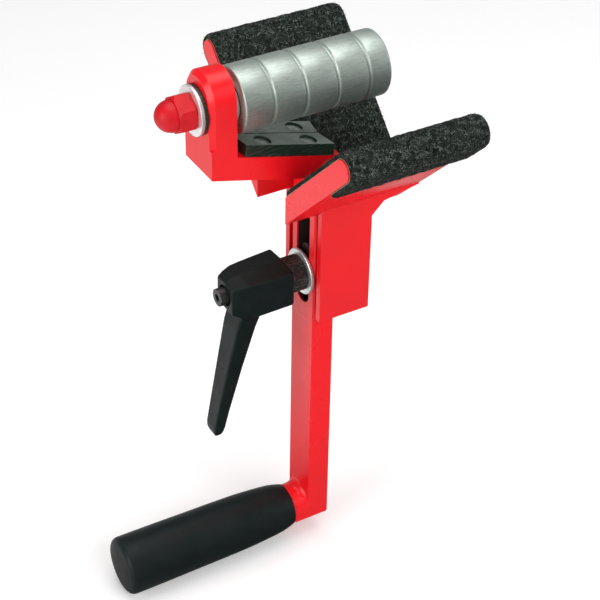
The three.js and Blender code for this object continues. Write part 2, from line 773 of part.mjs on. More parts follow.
// Lever handle: a faceted hub on the toothed neck and an arm that leans away from the bar
function leverHandle() {
  const hub = loft(hubSections.slice().reverse().map(([reach, width, top, bottom]) => eightSided(
    0, 0, width, top, bottom, hubCornerShare, (a, b) => [hubRightX - reach, a, b])));
  const armBody = loft(armSections.slice().reverse().map(([reach, drop, depth, width]) => eightSided(
    hubRightX - reach, 0, depth, width, width, armCornerShare, (a, b) => [a, b, -drop])));
  const teeth = alongX(toothed(toothTipRadius + toothGap, toothRootRadius + toothGap, toothCount),
    hubRightX - toothLength - seatGap, hubRightX + cutOverrun);
  const neckHole = rod(toothRootRadius, leverShoulderX, hubRightX, fineFacets);
  const shankHole = rod(leverScrewRadius + seatGap, leverScrewHeadX - cutOverrun, hubRightX, mediumFacets);
  const headHole = rod(leverScrewHeadRadius + leverScrewRoom, leverScrewHeadX - liftStroke - leverScrewHeadHeight,
    leverShoulderX - leverShoulderThickness, mediumFacets);
  const body = hub.add(armBody).subtract(teeth).subtract(neckHole).subtract(shankHole);
  return moved(body.subtract(headHole), 0, 0, studZ);
}

add(group, 'crank_bar', crankBar(), redPaint);
add(group, 'head_block', headBlock(), redPaint);
add(deck, 'front_blade', blade(-1), blackSteel);
add(deck, 'rear_blade', blade(1), blackSteel);

let bladeScrewNumber = 1;
for (const side of [-1, 1]) {
  for (const x of bladeScrewPlaces) {
    const shankLength = bladeScrewReach - bladeHeadHeight;
    const screw = socketScrew(bladeHeadRadius, bladeHeadHeight, bladeShankRadius, shankLength);
    add(deck, `blade_screw_${bladeScrewNumber}`, screw, zincSteel, [x, side * bladeScrewY, bladeThickness - bladeHeadSink]);
    bladeScrewNumber += 1;
  }
}

let headScrewNumber = 1;
for (const y of [-headScrewY, headScrewY]) {
  const screw = socketScrew(headScrewHeadRadius, headScrewHeadHeight, headScrewRadius, headScrewLength);
  add(group, `head_screw_${headScrewNumber}`, screw, blackSteel, [barMidX, y, headScrewTopZ]);
  headScrewNumber += 1;
}

const ringPlace = -legThickness - ringThickness;
add(group, 'roller_axle', axle(), zincSteel);
add(group, 'axle_cap_nut', capNut(), redPaint);
add(group, 'axle_washer', ring(washerRadius, axleRadius + seatGap, washerPlace, ringPlace, washerChamfer, fineFacets),
  zincSteel);
add(group, 'axle_ring', ring(ringRadius, axleRadius + seatGap, ringPlace, -legThickness, 0, fineFacets), blackSteel);
add(group, 'roller_spacer', ring(spacerRadius, axleRadius + seatGap, seatGap, seatGap + spacerThickness, 0,
  fineFacets), zincSteel);
const endWasherX = rollerEnd - endRecess + slideGap;
add(group, 'axle_end_washer', ring(endWasherRadius, axleRadius + runGap, endWasherX, endWasherX + endWasherThickness,
  0, mediumFacets), zincSteel);
add(group, 'axle_retaining_ring', retainingRing(), blackSteel);
add(group, 'roller', roller(), aluminium);
add(group, 'roller_bush_left', bush(rollerStart, 1), bronze);
add(group, 'roller_bush_right', bush(rollerEnd - endRecess, -1), bronze);
add(group, 'grip_spindle', spindle(), zincSteel);
add(group, 'grip_snap_ring', snapRing(), blackSteel);
add(group, 'grip', grip(), blackPlastic);
add(group, 'saddle', saddle(), redPaint);
for (const [name, side] of [['front_felt', -1], ['rear_felt', 1]]) {
  const pad = alongX(ordered(side, feltOutline(side)), armLeftX + feltInset, armRightX);
  add(group, name, pad.subtract(barNotch()), greyFelt);
}
const clampWasher = ring(washerRadius, studRadius + seatGap, washerFaceX - washerThickness, washerFaceX,
  washerChamfer, fineFacets);
add(group, 'clamp_washer', moved(clampWasher, 0, 0, studZ), zincSteel);
add(group, 'clamp_nut', clampNut(), zincSteel);
add(group, 'clamp_stud', clampStud(), zincSteel);
add(group, 'lever_insert', leverInsert(), blackSteel);
add(group, 'lever_screw', leverScrew(), blackSteel);
add(group, 'lever_spring', leverSpring(), zincSteel);
add(group, 'lever_handle', leverHandle(), blackPlastic);

export default group;
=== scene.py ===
# %% [markdown]
# # A hand-cranked tool that chamfers the ends of plastic pipes
#
# The CAD model gives every size and place. This lesson loads it, sets up the camera of the
# photograph, makes the finishes, and then dresses the model piece by piece: paint, turned
# aluminium, blades, felt and moulded plastic. Everything is in metres and in the CAD model's own
# frame, so nothing has to be fitted.

# %% Load the frame
import math
import random

import bmesh
import bpy
from mathutils import Matrix, Vector, noise
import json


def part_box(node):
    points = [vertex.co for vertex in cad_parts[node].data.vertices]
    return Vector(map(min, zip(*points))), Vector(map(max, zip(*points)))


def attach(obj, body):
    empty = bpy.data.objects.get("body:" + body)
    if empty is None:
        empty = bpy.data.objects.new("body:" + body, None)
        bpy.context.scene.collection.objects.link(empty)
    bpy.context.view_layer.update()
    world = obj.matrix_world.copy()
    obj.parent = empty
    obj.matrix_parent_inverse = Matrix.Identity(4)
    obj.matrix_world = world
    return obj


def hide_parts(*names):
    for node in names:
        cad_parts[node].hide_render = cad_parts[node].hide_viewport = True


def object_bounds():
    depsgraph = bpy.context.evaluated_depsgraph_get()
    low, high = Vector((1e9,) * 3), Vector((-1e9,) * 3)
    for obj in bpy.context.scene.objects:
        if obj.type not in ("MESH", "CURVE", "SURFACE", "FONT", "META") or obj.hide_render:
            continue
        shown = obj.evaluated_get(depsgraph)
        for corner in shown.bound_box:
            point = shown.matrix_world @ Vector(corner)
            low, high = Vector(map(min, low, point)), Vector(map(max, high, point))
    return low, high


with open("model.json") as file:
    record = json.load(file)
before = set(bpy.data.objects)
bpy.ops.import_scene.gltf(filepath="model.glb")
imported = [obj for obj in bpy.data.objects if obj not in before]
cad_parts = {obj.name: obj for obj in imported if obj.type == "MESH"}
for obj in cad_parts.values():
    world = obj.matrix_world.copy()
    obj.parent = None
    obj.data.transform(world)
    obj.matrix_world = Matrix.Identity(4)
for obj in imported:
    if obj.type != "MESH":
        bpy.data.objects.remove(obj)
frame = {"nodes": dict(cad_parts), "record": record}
cad_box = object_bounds()

# %% [markdown]
# ## Sizes in millimetres
#
# Blender counts in metres, while a hand tool is measured in millimetres. One helper lets the steps
# give their few sizes in millimetres. The rest is asked of the frame, which knows each node's box.

# %% Units
def mm(value):
    """Millimetres to metres."""
    return value * 0.001


print("one millimetre is", mm(1))

# %% [markdown]
# ## The camera
#
# The photograph looks down on the tool from the front left. Straight edges of known direction in
# the picture, such as the bar and the roller, fix the angle, and their shortening fixes the
# distance. A camera is a rotation and a place: right, up and back are three directions at right
# angles, so they can be written down directly from an azimuth, a height and a small roll.

# %% Camera
CAMERA_AZIMUTH = -30.5
CAMERA_HEIGHT = 36.4
CAMERA_ROLL = 1.0
CAMERA_PLACE = (-0.3510, -0.6767, 0.4359)
CAMERA_SIGHT = 20
FOCAL_PIXELS = 1700
FRAME_PIXELS = 600
SENSOR = 36


def add_object(name, data):
    """A new object in the scene."""
    thing = bpy.data.objects.new(name, data)
    bpy.context.scene.collection.objects.link(thing)
    return thing


def camera_axes(azimuth, height, roll):
    """Right, up and back of a camera that looks at the frame from an azimuth and a height."""
    az, el, turn = math.radians(azimuth), math.radians(height), math.radians(roll)
    back = Vector((math.sin(az) * math.cos(el), -math.cos(az) * math.cos(el), math.sin(el)))
    level = Vector((math.cos(az), math.sin(az), 0))
    upward = back.cross(level)
    right = level * math.cos(turn) + upward * math.sin(turn)
    up = upward * math.cos(turn) - level * math.sin(turn)
    return right, up, back


camera_data = bpy.data.cameras.new("camera")
camera_data.sensor_width = SENSOR
camera_data.lens = FOCAL_PIXELS / FRAME_PIXELS * SENSOR
camera_data.clip_end = CAMERA_SIGHT
camera = add_object("camera", camera_data)
axes = Matrix(camera_axes(CAMERA_AZIMUTH, CAMERA_HEIGHT, CAMERA_ROLL)).transposed().to_4x4()
camera.matrix_world = Matrix.Translation(CAMERA_PLACE) @ axes
bpy.context.scene.camera = camera
print("lens", round(camera_data.lens, 1))

# %% [markdown]
# ## Lights
#
# A product picture on white is lit by large soft boxes, because large lamps give soft edges to
# shadows and long highlights on the roller. One stands on the left and puts the pale sheen on the
# left faces of the red bar. One hangs above, a weak one stands on the right, and one in front only
# brightens: mirror surfaces don't show it, since the photograph has no such reflection.

# %% Lights and world
MIDDLE = (0.02, 0, -0.12)
WHITE = (1, 1, 1, 1)
WORLD_STRENGTH = 0.22
# Name, place, width, height, power in watts, and whether mirror surfaces show it
SOFT_BOXES = [
    ("left_box", (-1.5, -0.35, 0.35), 1.0, 1.2, 14.5, True),
    ("front_box", (0.3, -1.5, 0.9), 1.4, 1.0, 18, False),
    ("top_box", (0.1, 0.1, 1.6), 1.6, 1.6, 20, True),
    ("right_box", (1.5, -0.5, 0.3), 0.8, 1.2, 4, True),
]


def soft_box(name, place, width, height, power, mirrored):
    """A rectangular area lamp that looks at the middle of the tool."""
    data = bpy.data.lights.new(name, "AREA")
    data.shape = "RECTANGLE"
    data.size = width
    data.size_y = height
    data.energy = power
    lamp = add_object(name, data)
    lamp.visible_glossy = mirrored
    aim = (Vector(MIDDLE) - Vector(place)).to_track_quat("-Z", "Y").to_matrix().to_4x4()
    lamp.matrix_world = Matrix.Translation(place) @ aim


for lamp_row in SOFT_BOXES:
    soft_box(*lamp_row)
world = bpy.data.worlds.new("studio")
world.use_nodes = True
background = world.node_tree.nodes["Background"]
background.inputs["Color"].default_value = WHITE
background.inputs["Strength"].default_value = WORLD_STRENGTH
bpy.context.scene.world = world
bpy.context.scene.view_settings.view_transform = "Standard"
print(len(SOFT_BOXES), "lamps")

# %% [markdown]
# ## Floor
#
# The tool stands before plain white. One large plane just below its lowest point takes the soft
# shadow. It belongs to the studio and not to the tool.

# %% Floor
FLOOR_REACH = 4
FLOOR_GAP = mm(2)


def new_mesh(name, vertices, faces):
    """A mesh from its points and faces."""
    mesh = bpy.data.meshes.new(name)
    mesh.from_pydata(vertices, [], faces)
    return mesh


floor_z = cad_box[0][2] - FLOOR_GAP
floor_corners = [(FLOOR_REACH * x, FLOOR_REACH * y, floor_z)
                 for x, y in ((-1, -1), (1, -1), (1, 1), (-1, 1))]
floor = add_object("floor", new_mesh("floor", floor_corners, [(0, 1, 2, 3)]))
print("floor at", round(floor_z, 4))

# %% [markdown]
# ## Helpers for node materials
#
# A material is a small graph of nodes. Written out link by link it is long and hard to read, so a
# few helpers fill a node's inputs by name, whether with a number, a colour or another node's
# output. On top of them stand the steps that return in every finish: mix two colours by a mask,
# bring a mask to a narrow band, and turn a height into a bump.

# %% Node helpers
def put(tree, socket, value):
    """Links an input to another node's output, or gives it a plain value."""
    if isinstance(value, bpy.types.NodeSocket):
        tree.links.new(value, socket)
    else:
        socket.default_value = value


def fill(tree, node, **values):
    """Fills a node's inputs by name."""
    for name, value in values.items():
        put(tree, node.inputs[name.replace("_", " ")], value)


def add_node(tree, kind, **values):
    """Adds a node, sets its properties and fills its inputs by name, and returns it."""
    node = tree.nodes.new("ShaderNode" + kind)
    for name, value in values.items():
        if hasattr(node, name):
            setattr(node, name, value)
        else:
            fill(tree, node, **{name: value})
    return node


def calculate(tree, kind, operation, *values):
    """Adds a Math or VectorMath node on sockets or plain values, and returns its outputs."""
    node = add_node(tree, kind, operation=operation)
    for socket, value in zip(node.inputs, values):
        put(tree, socket, value)
    return node.outputs


def remap(tree, value, **limits):
    """Maps a number from one range to another; both ranges are 0 to 1 where none is given."""
    return add_node(tree, "MapRange", Value=value, **limits).outputs["Result"]


def spread(tree, mask, low, high):
    """Brings a mask to a narrower band."""
    return remap(tree, mask, To_Min=low, To_Max=high)


def mix_colours(tree, mask, first, second):
    """Mixes two colours by a mask; each colour is a tuple or a socket."""
    node = add_node(tree, "Mix", data_type="RGBA", Factor=mask)
    put(tree, node.inputs[6], first)
    put(tree, node.inputs[7], second)
    return node.outputs[2]


def bump(tree, height, strength, distance=mm(0.1), **under):
    """A bump normal from a height mask, on top of another bump where one is given."""
    return add_node(tree, "Bump", Height=height, Strength=strength, Distance=distance,
                    **under).outputs["Normal"]


def object_place(tree):
    """Where a point lies on its own object, so that a pattern moves with the piece."""
    return add_node(tree, "TexCoord").outputs["Object"]


def start_group(name, inputs, output):
    """Makes a node group with number inputs and one number output."""
    tree = bpy.data.node_groups.new(name, "ShaderNodeTree")
    for label, default in inputs.items():
        socket = tree.interface.new_socket(label, in_out="INPUT", socket_type="NodeSocketFloat")
        socket.default_value = default
    tree.interface.new_socket(output, in_out="OUTPUT", socket_type="NodeSocketFloat")
    return tree, tree.nodes.new("NodeGroupInput").outputs, tree.nodes.new("NodeGroupOutput")


def effect(tree, group, **values):
    """Places a node group with its own values and returns its output."""
    return add_node(tree, "Group", node_tree=group, **values).outputs[0]


def start_material(name):
    """A new material with its node tree and its Principled shader."""
    material = bpy.data.materials.new(name)
    material.use_nodes = True
    return material, material.node_tree, material.node_tree.nodes["Principled BSDF"]


print("helpers ready")

# %% [markdown]
# ## Mottle
#
# No real surface has one flat colour. Mottle is a slow cloud of noise with soft borders that mixes
# two near colours and varies the roughness. Few details give broad calm patches, as on paint.

# %% Mottle group
mottle, group_in, group_out = start_group("mottle", {"Scale": 60, "Detail": 6}, "Mask")
cloud = add_node(mottle, "TexNoise", Vector=object_place(mottle), Scale=group_in["Scale"],
                 Detail=group_in["Detail"], Roughness=0.6)
fill(mottle, group_out, Mask=remap(mottle, cloud.outputs["Fac"], interpolation_type="SMOOTHSTEP",
                                   From_Min=0.3, From_Max=0.7))
print("mottle", len(mottle.nodes), "nodes")

# %% [markdown]
# ## Edge rub
#
# Hands and tables wear a tool at its outer edges first. Where the true normal differs from one that
# is rounded over a small radius there is an edge, and noise breaks that line up as wear does.

# %% Edge rub group
edge_rub, group_in, group_out = start_group(
    "edge_rub", {"Radius": 0.0008, "Break Scale": 400, "Amount": 1}, "Mask")
rounded = add_node(edge_rub, "Bevel", samples=4, Radius=group_in["Radius"]).outputs["Normal"]
true_normal = add_node(edge_rub, "NewGeometry").outputs["Normal"]
match = calculate(edge_rub, "VectorMath", "DOT_PRODUCT", rounded, true_normal)["Value"]
edge = remap(edge_rub, match, From_Min=0.995, From_Max=0.86)
breaks = add_node(edge_rub, "TexNoise", Vector=object_place(edge_rub),
                  Scale=group_in["Break Scale"], Detail=4.0)
gate = remap(edge_rub, breaks.outputs["Fac"], From_Min=0.48, From_Max=0.66)
broken = calculate(edge_rub, "Math", "MULTIPLY", edge, gate)["Value"]
amount = calculate(edge_rub, "Math", "MULTIPLY", broken, group_in["Amount"])["Value"]
fill(edge_rub, group_out, Mask=amount)
print("edge rub", len(edge_rub.nodes), "nodes")

# %% [markdown]
# ## Hairlines
#
# Turning and grinding leave thin parallel scratches. Noise that is stretched one way gives them: a
# small number along an axis draws long lines on it, a large number packs them closely.

# %% Hairlines group
hairlines, group_in, group_out = start_group(
    "hairlines", {"Along X": 20, "Along Y": 900, "Along Z": 900, "Density": 0.5}, "Mask")
stretch = add_node(hairlines, "CombineXYZ", X=group_in["Along X"], Y=group_in["Along Y"],
                   Z=group_in["Along Z"]).outputs[0]
scaled = calculate(hairlines, "VectorMath", "MULTIPLY", object_place(hairlines), stretch)
lines = add_node(hairlines, "TexNoise", Vector=scaled["Vector"], Scale=1.0, Detail=3.0,
                 Roughness=0.7)
keep = remap(hairlines, lines.outputs["Fac"], From_Min=0.45, From_Max=0.8)
dense = calculate(hairlines, "Math", "MULTIPLY", keep, group_in["Density"])["Value"]
fill(hairlines, group_out, Mask=dense)
print("hairlines", len(hairlines.nodes), "nodes")

# %% [markdown]
# ## Fine grain
#
# Paint, moulded plastic and felt all have a small height noise that only shows in their highlights.
# Its scale and softness tell them apart.

# %% Fine grain group
fine_grain, group_in, group_out = start_group(
    "fine_grain", {"Scale": 900, "Softness": 0.5}, "Height")
grains = add_node(fine_grain, "TexNoise", Vector=object_place(fine_grain),
                  Scale=group_in["Scale"], Roughness=group_in["Softness"], Detail=4.0)
fill(fine_grain, group_out, Height=grains.outputs["Fac"])
print("fine grain", len(fine_grain.nodes), "nodes")

# %% [markdown]
# ## Zone
#
# Inside a narrow slot and on the web behind it, a painted shade darkens the red. The zone is a mask
# that is 1 inside an upright block and 0 outside it: five comparisons, multiplied together. Left,
# right, low and high are places on X and Z, and the half width counts both ways from the middle.

# %% Zone group
zone_group, group_in, group_out = start_group(
    "zone", {"Left": 0, "Right": 0, "Half Width": 0, "Low": 0, "High": 0}, "Mask")
parts = add_node(zone_group, "SeparateXYZ", Vector=object_place(zone_group)).outputs
from_middle = calculate(zone_group, "Math", "ABSOLUTE", parts["Y"])["Value"]
gates = [calculate(zone_group, "Math", test, measure, group_in[limit])["Value"]
         for measure, test, limit in (
             (parts["X"], "GREATER_THAN", "Left"), (parts["X"], "LESS_THAN", "Right"),
             (from_middle, "LESS_THAN", "Half Width"),
             (parts["Z"], "GREATER_THAN", "Low"), (parts["Z"], "LESS_THAN", "High"))]
inside = gates[0]
for gate in gates[1:]:
    inside = calculate(zone_group, "Math", "MULTIPLY", inside, gate)["Value"]
fill(zone_group, group_out, Mask=inside)
print("zone", len(zone_group.nodes), "nodes")

# %% [markdown]
# ## Red gloss paint
#
# Bar, head and saddle carry one smooth saturated red. Two near reds are mixed by a broad mottle,
# outer edges are rubbed a little lighter, and a very shallow wave keeps reflections from being too
# straight. A zone can lay a painted shade over the red, so this finish is a helper with three uses.

# %% Red gloss paint
PAINT_RED = (0.86, 0.006, 0.012, 1)
PAINT_DEEP = (0.78, 0.004, 0.009, 1)
PAINT_RUBBED = (0.92, 0.09, 0.09, 1)
# Painted shade: a dark brown-grey that stands in for the shade inside the bar's slot and on the
# saddle's web.
SLOT_PAINTED_SHADE = (0.035, 0.024, 0.020, 1)


def make_red_paint(name, **zone):
    """Red paint, with a painted shade inside a zone where one is given."""
    material, tree, shader = start_material(name)
    slow = effect(tree, mottle, Scale=22, Detail=1)
    rub = effect(tree, edge_rub, Radius=mm(0.9), Break_Scale=300, Amount=0.35)
    wave = effect(tree, fine_grain, Scale=150, Softness=0.1)
    paint = mix_colours(tree, rub, mix_colours(tree, slow, PAINT_RED, PAINT_DEEP), PAINT_RUBBED)
    # Inside the zone, the painted shade takes the place of the red.
    if zone:
        paint = mix_colours(tree, effect(tree, zone_group, **zone), paint, SLOT_PAINTED_SHADE)
    fill(tree, shader, Base_Color=paint, Roughness=spread(tree, slow, 0.26, 0.36),
         Specular_IOR_Level=0.45, Normal=bump(tree, wave, strength=0.02, distance=mm(0.2)))
    return material


FINISHES = {"red_paint": make_red_paint("red gloss paint")}
print("red paint ready")

# %% [markdown]
# ## Turned aluminium
#
# The roller is bare aluminium with fine rings from the lathe and longer marks from use along it.
# Both are hairlines: the rings only as bump, the marks also as a darker grey. The metal is a little
# green because the photograph is.

# %% Turned aluminium
ALUMINIUM_PALE = (0.60, 0.675, 0.62, 1)
ALUMINIUM_GREY = (0.52, 0.59, 0.54, 1)
ALUMINIUM_MARKS = (0.32, 0.37, 0.34, 1)
material, tree, shader = start_material("turned aluminium")
slow = effect(tree, mottle, Scale=90)
around = effect(tree, hairlines, Along_X=3200, Along_Y=60, Along_Z=60, Density=0.8)
along = effect(tree, hairlines, Along_X=160, Along_Y=1400, Along_Z=1400, Density=0.7)
metal = mix_colours(tree, slow, ALUMINIUM_PALE, ALUMINIUM_GREY)
rings = bump(tree, around, strength=0.25)
fill(tree, shader, Base_Color=mix_colours(tree, along, metal, ALUMINIUM_MARKS), Metallic=0.88,
     Roughness=spread(tree, slow, 0.44, 0.54),
     Normal=bump(tree, along, strength=0.2, Normal=rings))
FINISHES["aluminium"] = material
print("aluminium", len(tree.nodes), "nodes")

# %% [markdown]
# ## Bright zinc
#
# Washers, the axle and the blades' screws are steel with a thin bright plating that is slightly
# cloudy and nearly white.

# %% Bright zinc
ZINC_BRIGHT = (0.93, 0.94, 0.93, 1)
ZINC_CLOUD = (0.84, 0.86, 0.86, 1)
material, tree, shader = start_material("bright zinc")
slow = effect(tree, mottle, Scale=180)
lines = effect(tree, hairlines, Along_X=900, Along_Y=900, Along_Z=120, Density=0.6)
fill(tree, shader, Base_Color=mix_colours(tree, slow, ZINC_BRIGHT, ZINC_CLOUD), Metallic=0.8,
     Roughness=spread(tree, slow, 0.36, 0.46),
     Normal=bump(tree, lines, strength=0.12))
FINISHES["zinc_steel"] = material
print("zinc", len(tree.nodes), "nodes")

# %% [markdown]
# ## Blackened steel
#
# The lever's insert, its end screw and the dark ring on the axle have a dark oxide skin. It is
# thin, so hairlines and worn edges let the grey metal through.

# %% Blackened steel
OXIDE = (0.055, 0.062, 0.054, 1)
OXIDE_DARK = (0.03, 0.036, 0.032, 1)
OXIDE_LINES = (0.13, 0.14, 0.13, 1)
OXIDE_WORN = (0.45, 0.46, 0.44, 1)
material, tree, shader = start_material("blackened steel")
slow = effect(tree, mottle, Scale=120)
rub = effect(tree, edge_rub, Radius=mm(0.6), Break_Scale=500, Amount=0.9)
lines = effect(tree, hairlines, Along_X=60, Along_Y=1100, Along_Z=1100, Density=0.8)
metal = mix_colours(tree, lines, mix_colours(tree, slow, OXIDE, OXIDE_DARK), OXIDE_LINES)
fill(tree, shader, Base_Color=mix_colours(tree, rub, metal, OXIDE_WORN), Metallic=0.7,
     Roughness=spread(tree, slow, 0.32, 0.5),
     Normal=bump(tree, lines, strength=0.15))
FINISHES["black_steel"] = material
print("black steel", len(tree.nodes), "nodes")

# %% [markdown]
# ## Blade steel with a painted top highlight
#
# The blades are dark steel all round, and their tops, which face the lamps above, get a painted
# highlight. A face's own normal tells which way it looks, so the height of the normal serves as the
# mask between dark sides and tops with a painted highlight.

# %% Blade steel with painted top highlight
BLADE_SIDE = (0.05, 0.105, 0.07, 1)
BLADE_SIDE_DARK = (0.03, 0.07, 0.045, 1)
BLADE_TOP_HIGHLIGHT = (0.78, 0.86, 0.80, 1)
BLADE_TOP_HIGHLIGHT_GREY = (0.48, 0.56, 0.50, 1)
BLADE_LINES = (0.30, 0.35, 0.32, 1)
BLADE_WORN = (0.55, 0.60, 0.56, 1)
blade_steel, tree, shader = start_material("blade steel, painted top highlight")
slow = effect(tree, mottle, Scale=70)
rub = effect(tree, edge_rub, Radius=mm(0.5), Break_Scale=400, Amount=0.8)
lines = effect(tree, hairlines, Along_X=60, Along_Y=1400, Along_Z=1400, Density=0.5)
normal = add_node(tree, "SeparateXYZ", Vector=add_node(tree, "TexCoord").outputs["Normal"])
# Painted highlight: faces that look up are mixed towards a bright grey.
top_highlight_mask = remap(tree, normal.outputs["Z"], From_Min=0.8, From_Max=0.9)
metal = mix_colours(tree, top_highlight_mask, mix_colours(tree, slow, BLADE_SIDE, BLADE_SIDE_DARK),
                    mix_colours(tree, slow, BLADE_TOP_HIGHLIGHT, BLADE_TOP_HIGHLIGHT_GREY))
ground = mix_colours(tree, lines, metal, BLADE_LINES)
fill(tree, shader, Base_Color=mix_colours(tree, rub, ground, BLADE_WORN), Metallic=0.85,
     Roughness=spread(tree, slow, 0.38, 0.5),
     Normal=bump(tree, lines, strength=0.06))
print("blade steel", len(tree.nodes), "nodes")

# %% [markdown]
# ## Red cap
#
# The domed nut is a deeper and duller red than the paint, with the fine grain of a moulded cap.

# %% Red cap
CAP_RED = (0.60, 0.004, 0.012, 1)
CAP_DEEP = (0.50, 0.003, 0.008, 1)
red_cap, tree, shader = start_material("red moulded cap")
slow = effect(tree, mottle, Scale=120)
grain = effect(tree, fine_grain, Scale=600, Softness=0.4)
fill(tree, shader, Base_Color=mix_colours(tree, slow, CAP_RED, CAP_DEEP),
     Roughness=spread(tree, slow, 0.4, 0.52), Specular_IOR_Level=0.3,
     Normal=bump(tree, grain, strength=0.08, distance=mm(0.3)))
print("red cap", len(tree.nodes), "nodes")

# %% [markdown]
# ## Black moulded plastic
#
# Grip and lever are black plastic with a fine moulded grain. Plastic mirrors less than paint, so
# its specular level is low, and handling polishes its edges a little lighter.

# %% Black moulded plastic
PLASTIC = (0.0045, 0.0085, 0.0085, 1)
PLASTIC_PALE = (0.007, 0.012, 0.0115, 1)
PLASTIC_RUBBED = (0.03, 0.042, 0.04, 1)
material, tree, shader = start_material("black moulded plastic")
slow = effect(tree, mottle, Scale=70)
rub = effect(tree, edge_rub, Radius=mm(1.0), Break_Scale=350, Amount=0.35)
grain = effect(tree, fine_grain, Scale=2400, Softness=0.6)
plastic = mix_colours(tree, rub, mix_colours(tree, slow, PLASTIC, PLASTIC_PALE), PLASTIC_RUBBED)
fill(tree, shader, Base_Color=plastic, Roughness=spread(tree, slow, 0.4, 0.54),
     Specular_IOR_Level=0.24, Normal=bump(tree, grain, strength=0.18, distance=mm(0.2)))
FINISHES["black_plastic"] = material
print("black plastic", len(tree.nodes), "nodes")

# %% [markdown]
# ## Bearing bronze
#
# The two bushes run on the axle and are plain bronze. They hardly show, so a mottle is enough.

# %% Bearing bronze
BRONZE = (0.45, 0.28, 0.10, 1)
BRONZE_DARK = (0.32, 0.19, 0.07, 1)
material, tree, shader = start_material("bearing bronze")
slow = effect(tree, mottle, Scale=200)
fill(tree, shader, Base_Color=mix_colours(tree, slow, BRONZE, BRONZE_DARK), Metallic=1.0,
     Roughness=spread(tree, slow, 0.35, 0.5))
FINISHES["bronze"] = material
print("bronze", len(tree.nodes), "nodes")

# %% [markdown]
# ## Felt
#
# The pads are charcoal felt: nearly black, cloudy, with paler flecks and a deep fuzzy bump. Their
# glued side has a cream backing that shows as a thin line at the cut edges. The pad's mesh stores
# how near a point is to that side, and the finish reads it from there.

# %% Felt
FELT_DARK = (0.002, 0.003, 0.0025, 1)
FELT_CLOUD = (0.007, 0.009, 0.008, 1)
FELT_FLECK = (0.038, 0.049, 0.040, 1)
FELT_BACKING = (0.42, 0.33, 0.22, 1)
material, tree, shader = start_material("charcoal felt")
tufts = effect(tree, mottle, Scale=420)
clouds = effect(tree, mottle, Scale=120)
fuzz = effect(tree, fine_grain, Scale=1500, Softness=0.8)
dark = mix_colours(tree, clouds, FELT_DARK, FELT_CLOUD)
flecked = mix_colours(tree, spread(tree, tufts, 0.0, 0.6), dark, FELT_FLECK)
depth = add_node(tree, "Attribute", attribute_name="backing").outputs["Fac"]
glued = remap(tree, depth, From_Min=0.78, From_Max=0.84)
fill(tree, shader, Base_Color=mix_colours(tree, glued, flecked, FELT_BACKING), Roughness=0.95,
     Specular_IOR_Level=0.15, Normal=bump(tree, fuzz, strength=0.9, distance=mm(1.2)))
FINISHES["felt"] = material
print(len(FINISHES), "finishes")

# %% [markdown]
# ## Pale floor
#
# To the eye the floor is white, with a little light of its own so that the picture's ground stays
# clean. What the tool mirrors is another matter: in a studio the camera's side is dark and the far
# side bright. So rays from mirror surfaces see a gradient from dark to pale along one direction,
# and all other rays see plain white.

# %% Pale floor
FLOOR_PALE = (0.95, 0.95, 0.95, 1)
FLOOR_CLOUD = (0.94, 0.94, 0.94, 1)
MIRRORED_DARK = (0.05, 0.05, 0.05, 1)
GRADIENT_WAY = (-0.35, 0.93, 0)
FLOOR_GLOW = 0.16
material, tree, shader = start_material("pale floor")
seen = add_node(tree, "LightPath").outputs
across = calculate(tree, "VectorMath", "DOT_PRODUCT", object_place(tree), GRADIENT_WAY)["Value"]
shade = remap(tree, across, From_Min=-0.03, From_Max=0.13, To_Min=0.04, To_Max=1.0)
pale = mix_colours(tree, effect(tree, mottle, Scale=2), FLOOR_PALE, FLOOR_CLOUD)
card = mix_colours(tree, shade, MIRRORED_DARK, pale)
fill(tree, shader, Base_Color=mix_colours(tree, seen["Is Glossy Ray"], pale, card), Roughness=0.7,
     Emission_Color=WHITE, Emission_Strength=spread(tree, seen["Is Camera Ray"], 0.0, FLOOR_GLOW))
floor.data.materials.append(material)
print("floor", len(tree.nodes), "nodes")

# %% [markdown]
# ## Carry the CAD nodes over with their finishes
#
# Many small pieces keep the CAD model's shape, so they only need a finish. The record says which
# material slot each node shows and which body it moves with.

# %% Dress the CAD nodes
SLOT_OF = {row["node"]: row["material_slot"] for row in frame["record"]["subparts"]}
BODY_OF = {node: body for body, nodes in frame["record"]["behaviour"]["bodies"].items()
           for node in nodes}
for node, slot_name in SLOT_OF.items():
    materials = frame["nodes"][node].data.materials
    materials.clear()
    materials.append(FINISHES[slot_name])
print(len(SLOT_OF), "nodes dressed")

# %% [markdown]
# ## Helpers for surfaces
#
# A turned piece is a profile of (x, radius) points swept round an axis along X. A piece is smoothed
# by angle: faces that meet at less than the angle share their shading, the others keep a crisp
# edge. Every new piece hides the CAD nodes it stands for, hangs on an empty for the body it moves
# with and takes the finish of its material slot.

# %% Surface helpers
TURNED_STEPS = 112
ON_AXIS = 1e-9


def finish_piece(name, mesh, slot_name, body, nodes, smooth_degrees=32):
    """Makes a piece of a mesh: shading, the finish of its slot, hiding the CAD nodes it replaces,
    and its body.
    """
    if smooth_degrees is not None:
        mesh.polygons.foreach_set("use_smooth", [True] * len(mesh.polygons))
        mesh.set_sharp_from_angle(angle=math.radians(smooth_degrees))
    piece = add_object(name, mesh)
    mesh.materials.clear()
    mesh.materials.append(FINISHES[slot_name])
    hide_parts(*nodes)
    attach(piece, body)
    return piece


def face_outward(mesh):
    """Turns the faces of a closed mesh to its outside."""
    work = bmesh.new()
    work.from_mesh(mesh)
    bmesh.ops.recalc_face_normals(work, faces=work.faces)
    work.to_mesh(mesh)
    work.free()
    return mesh


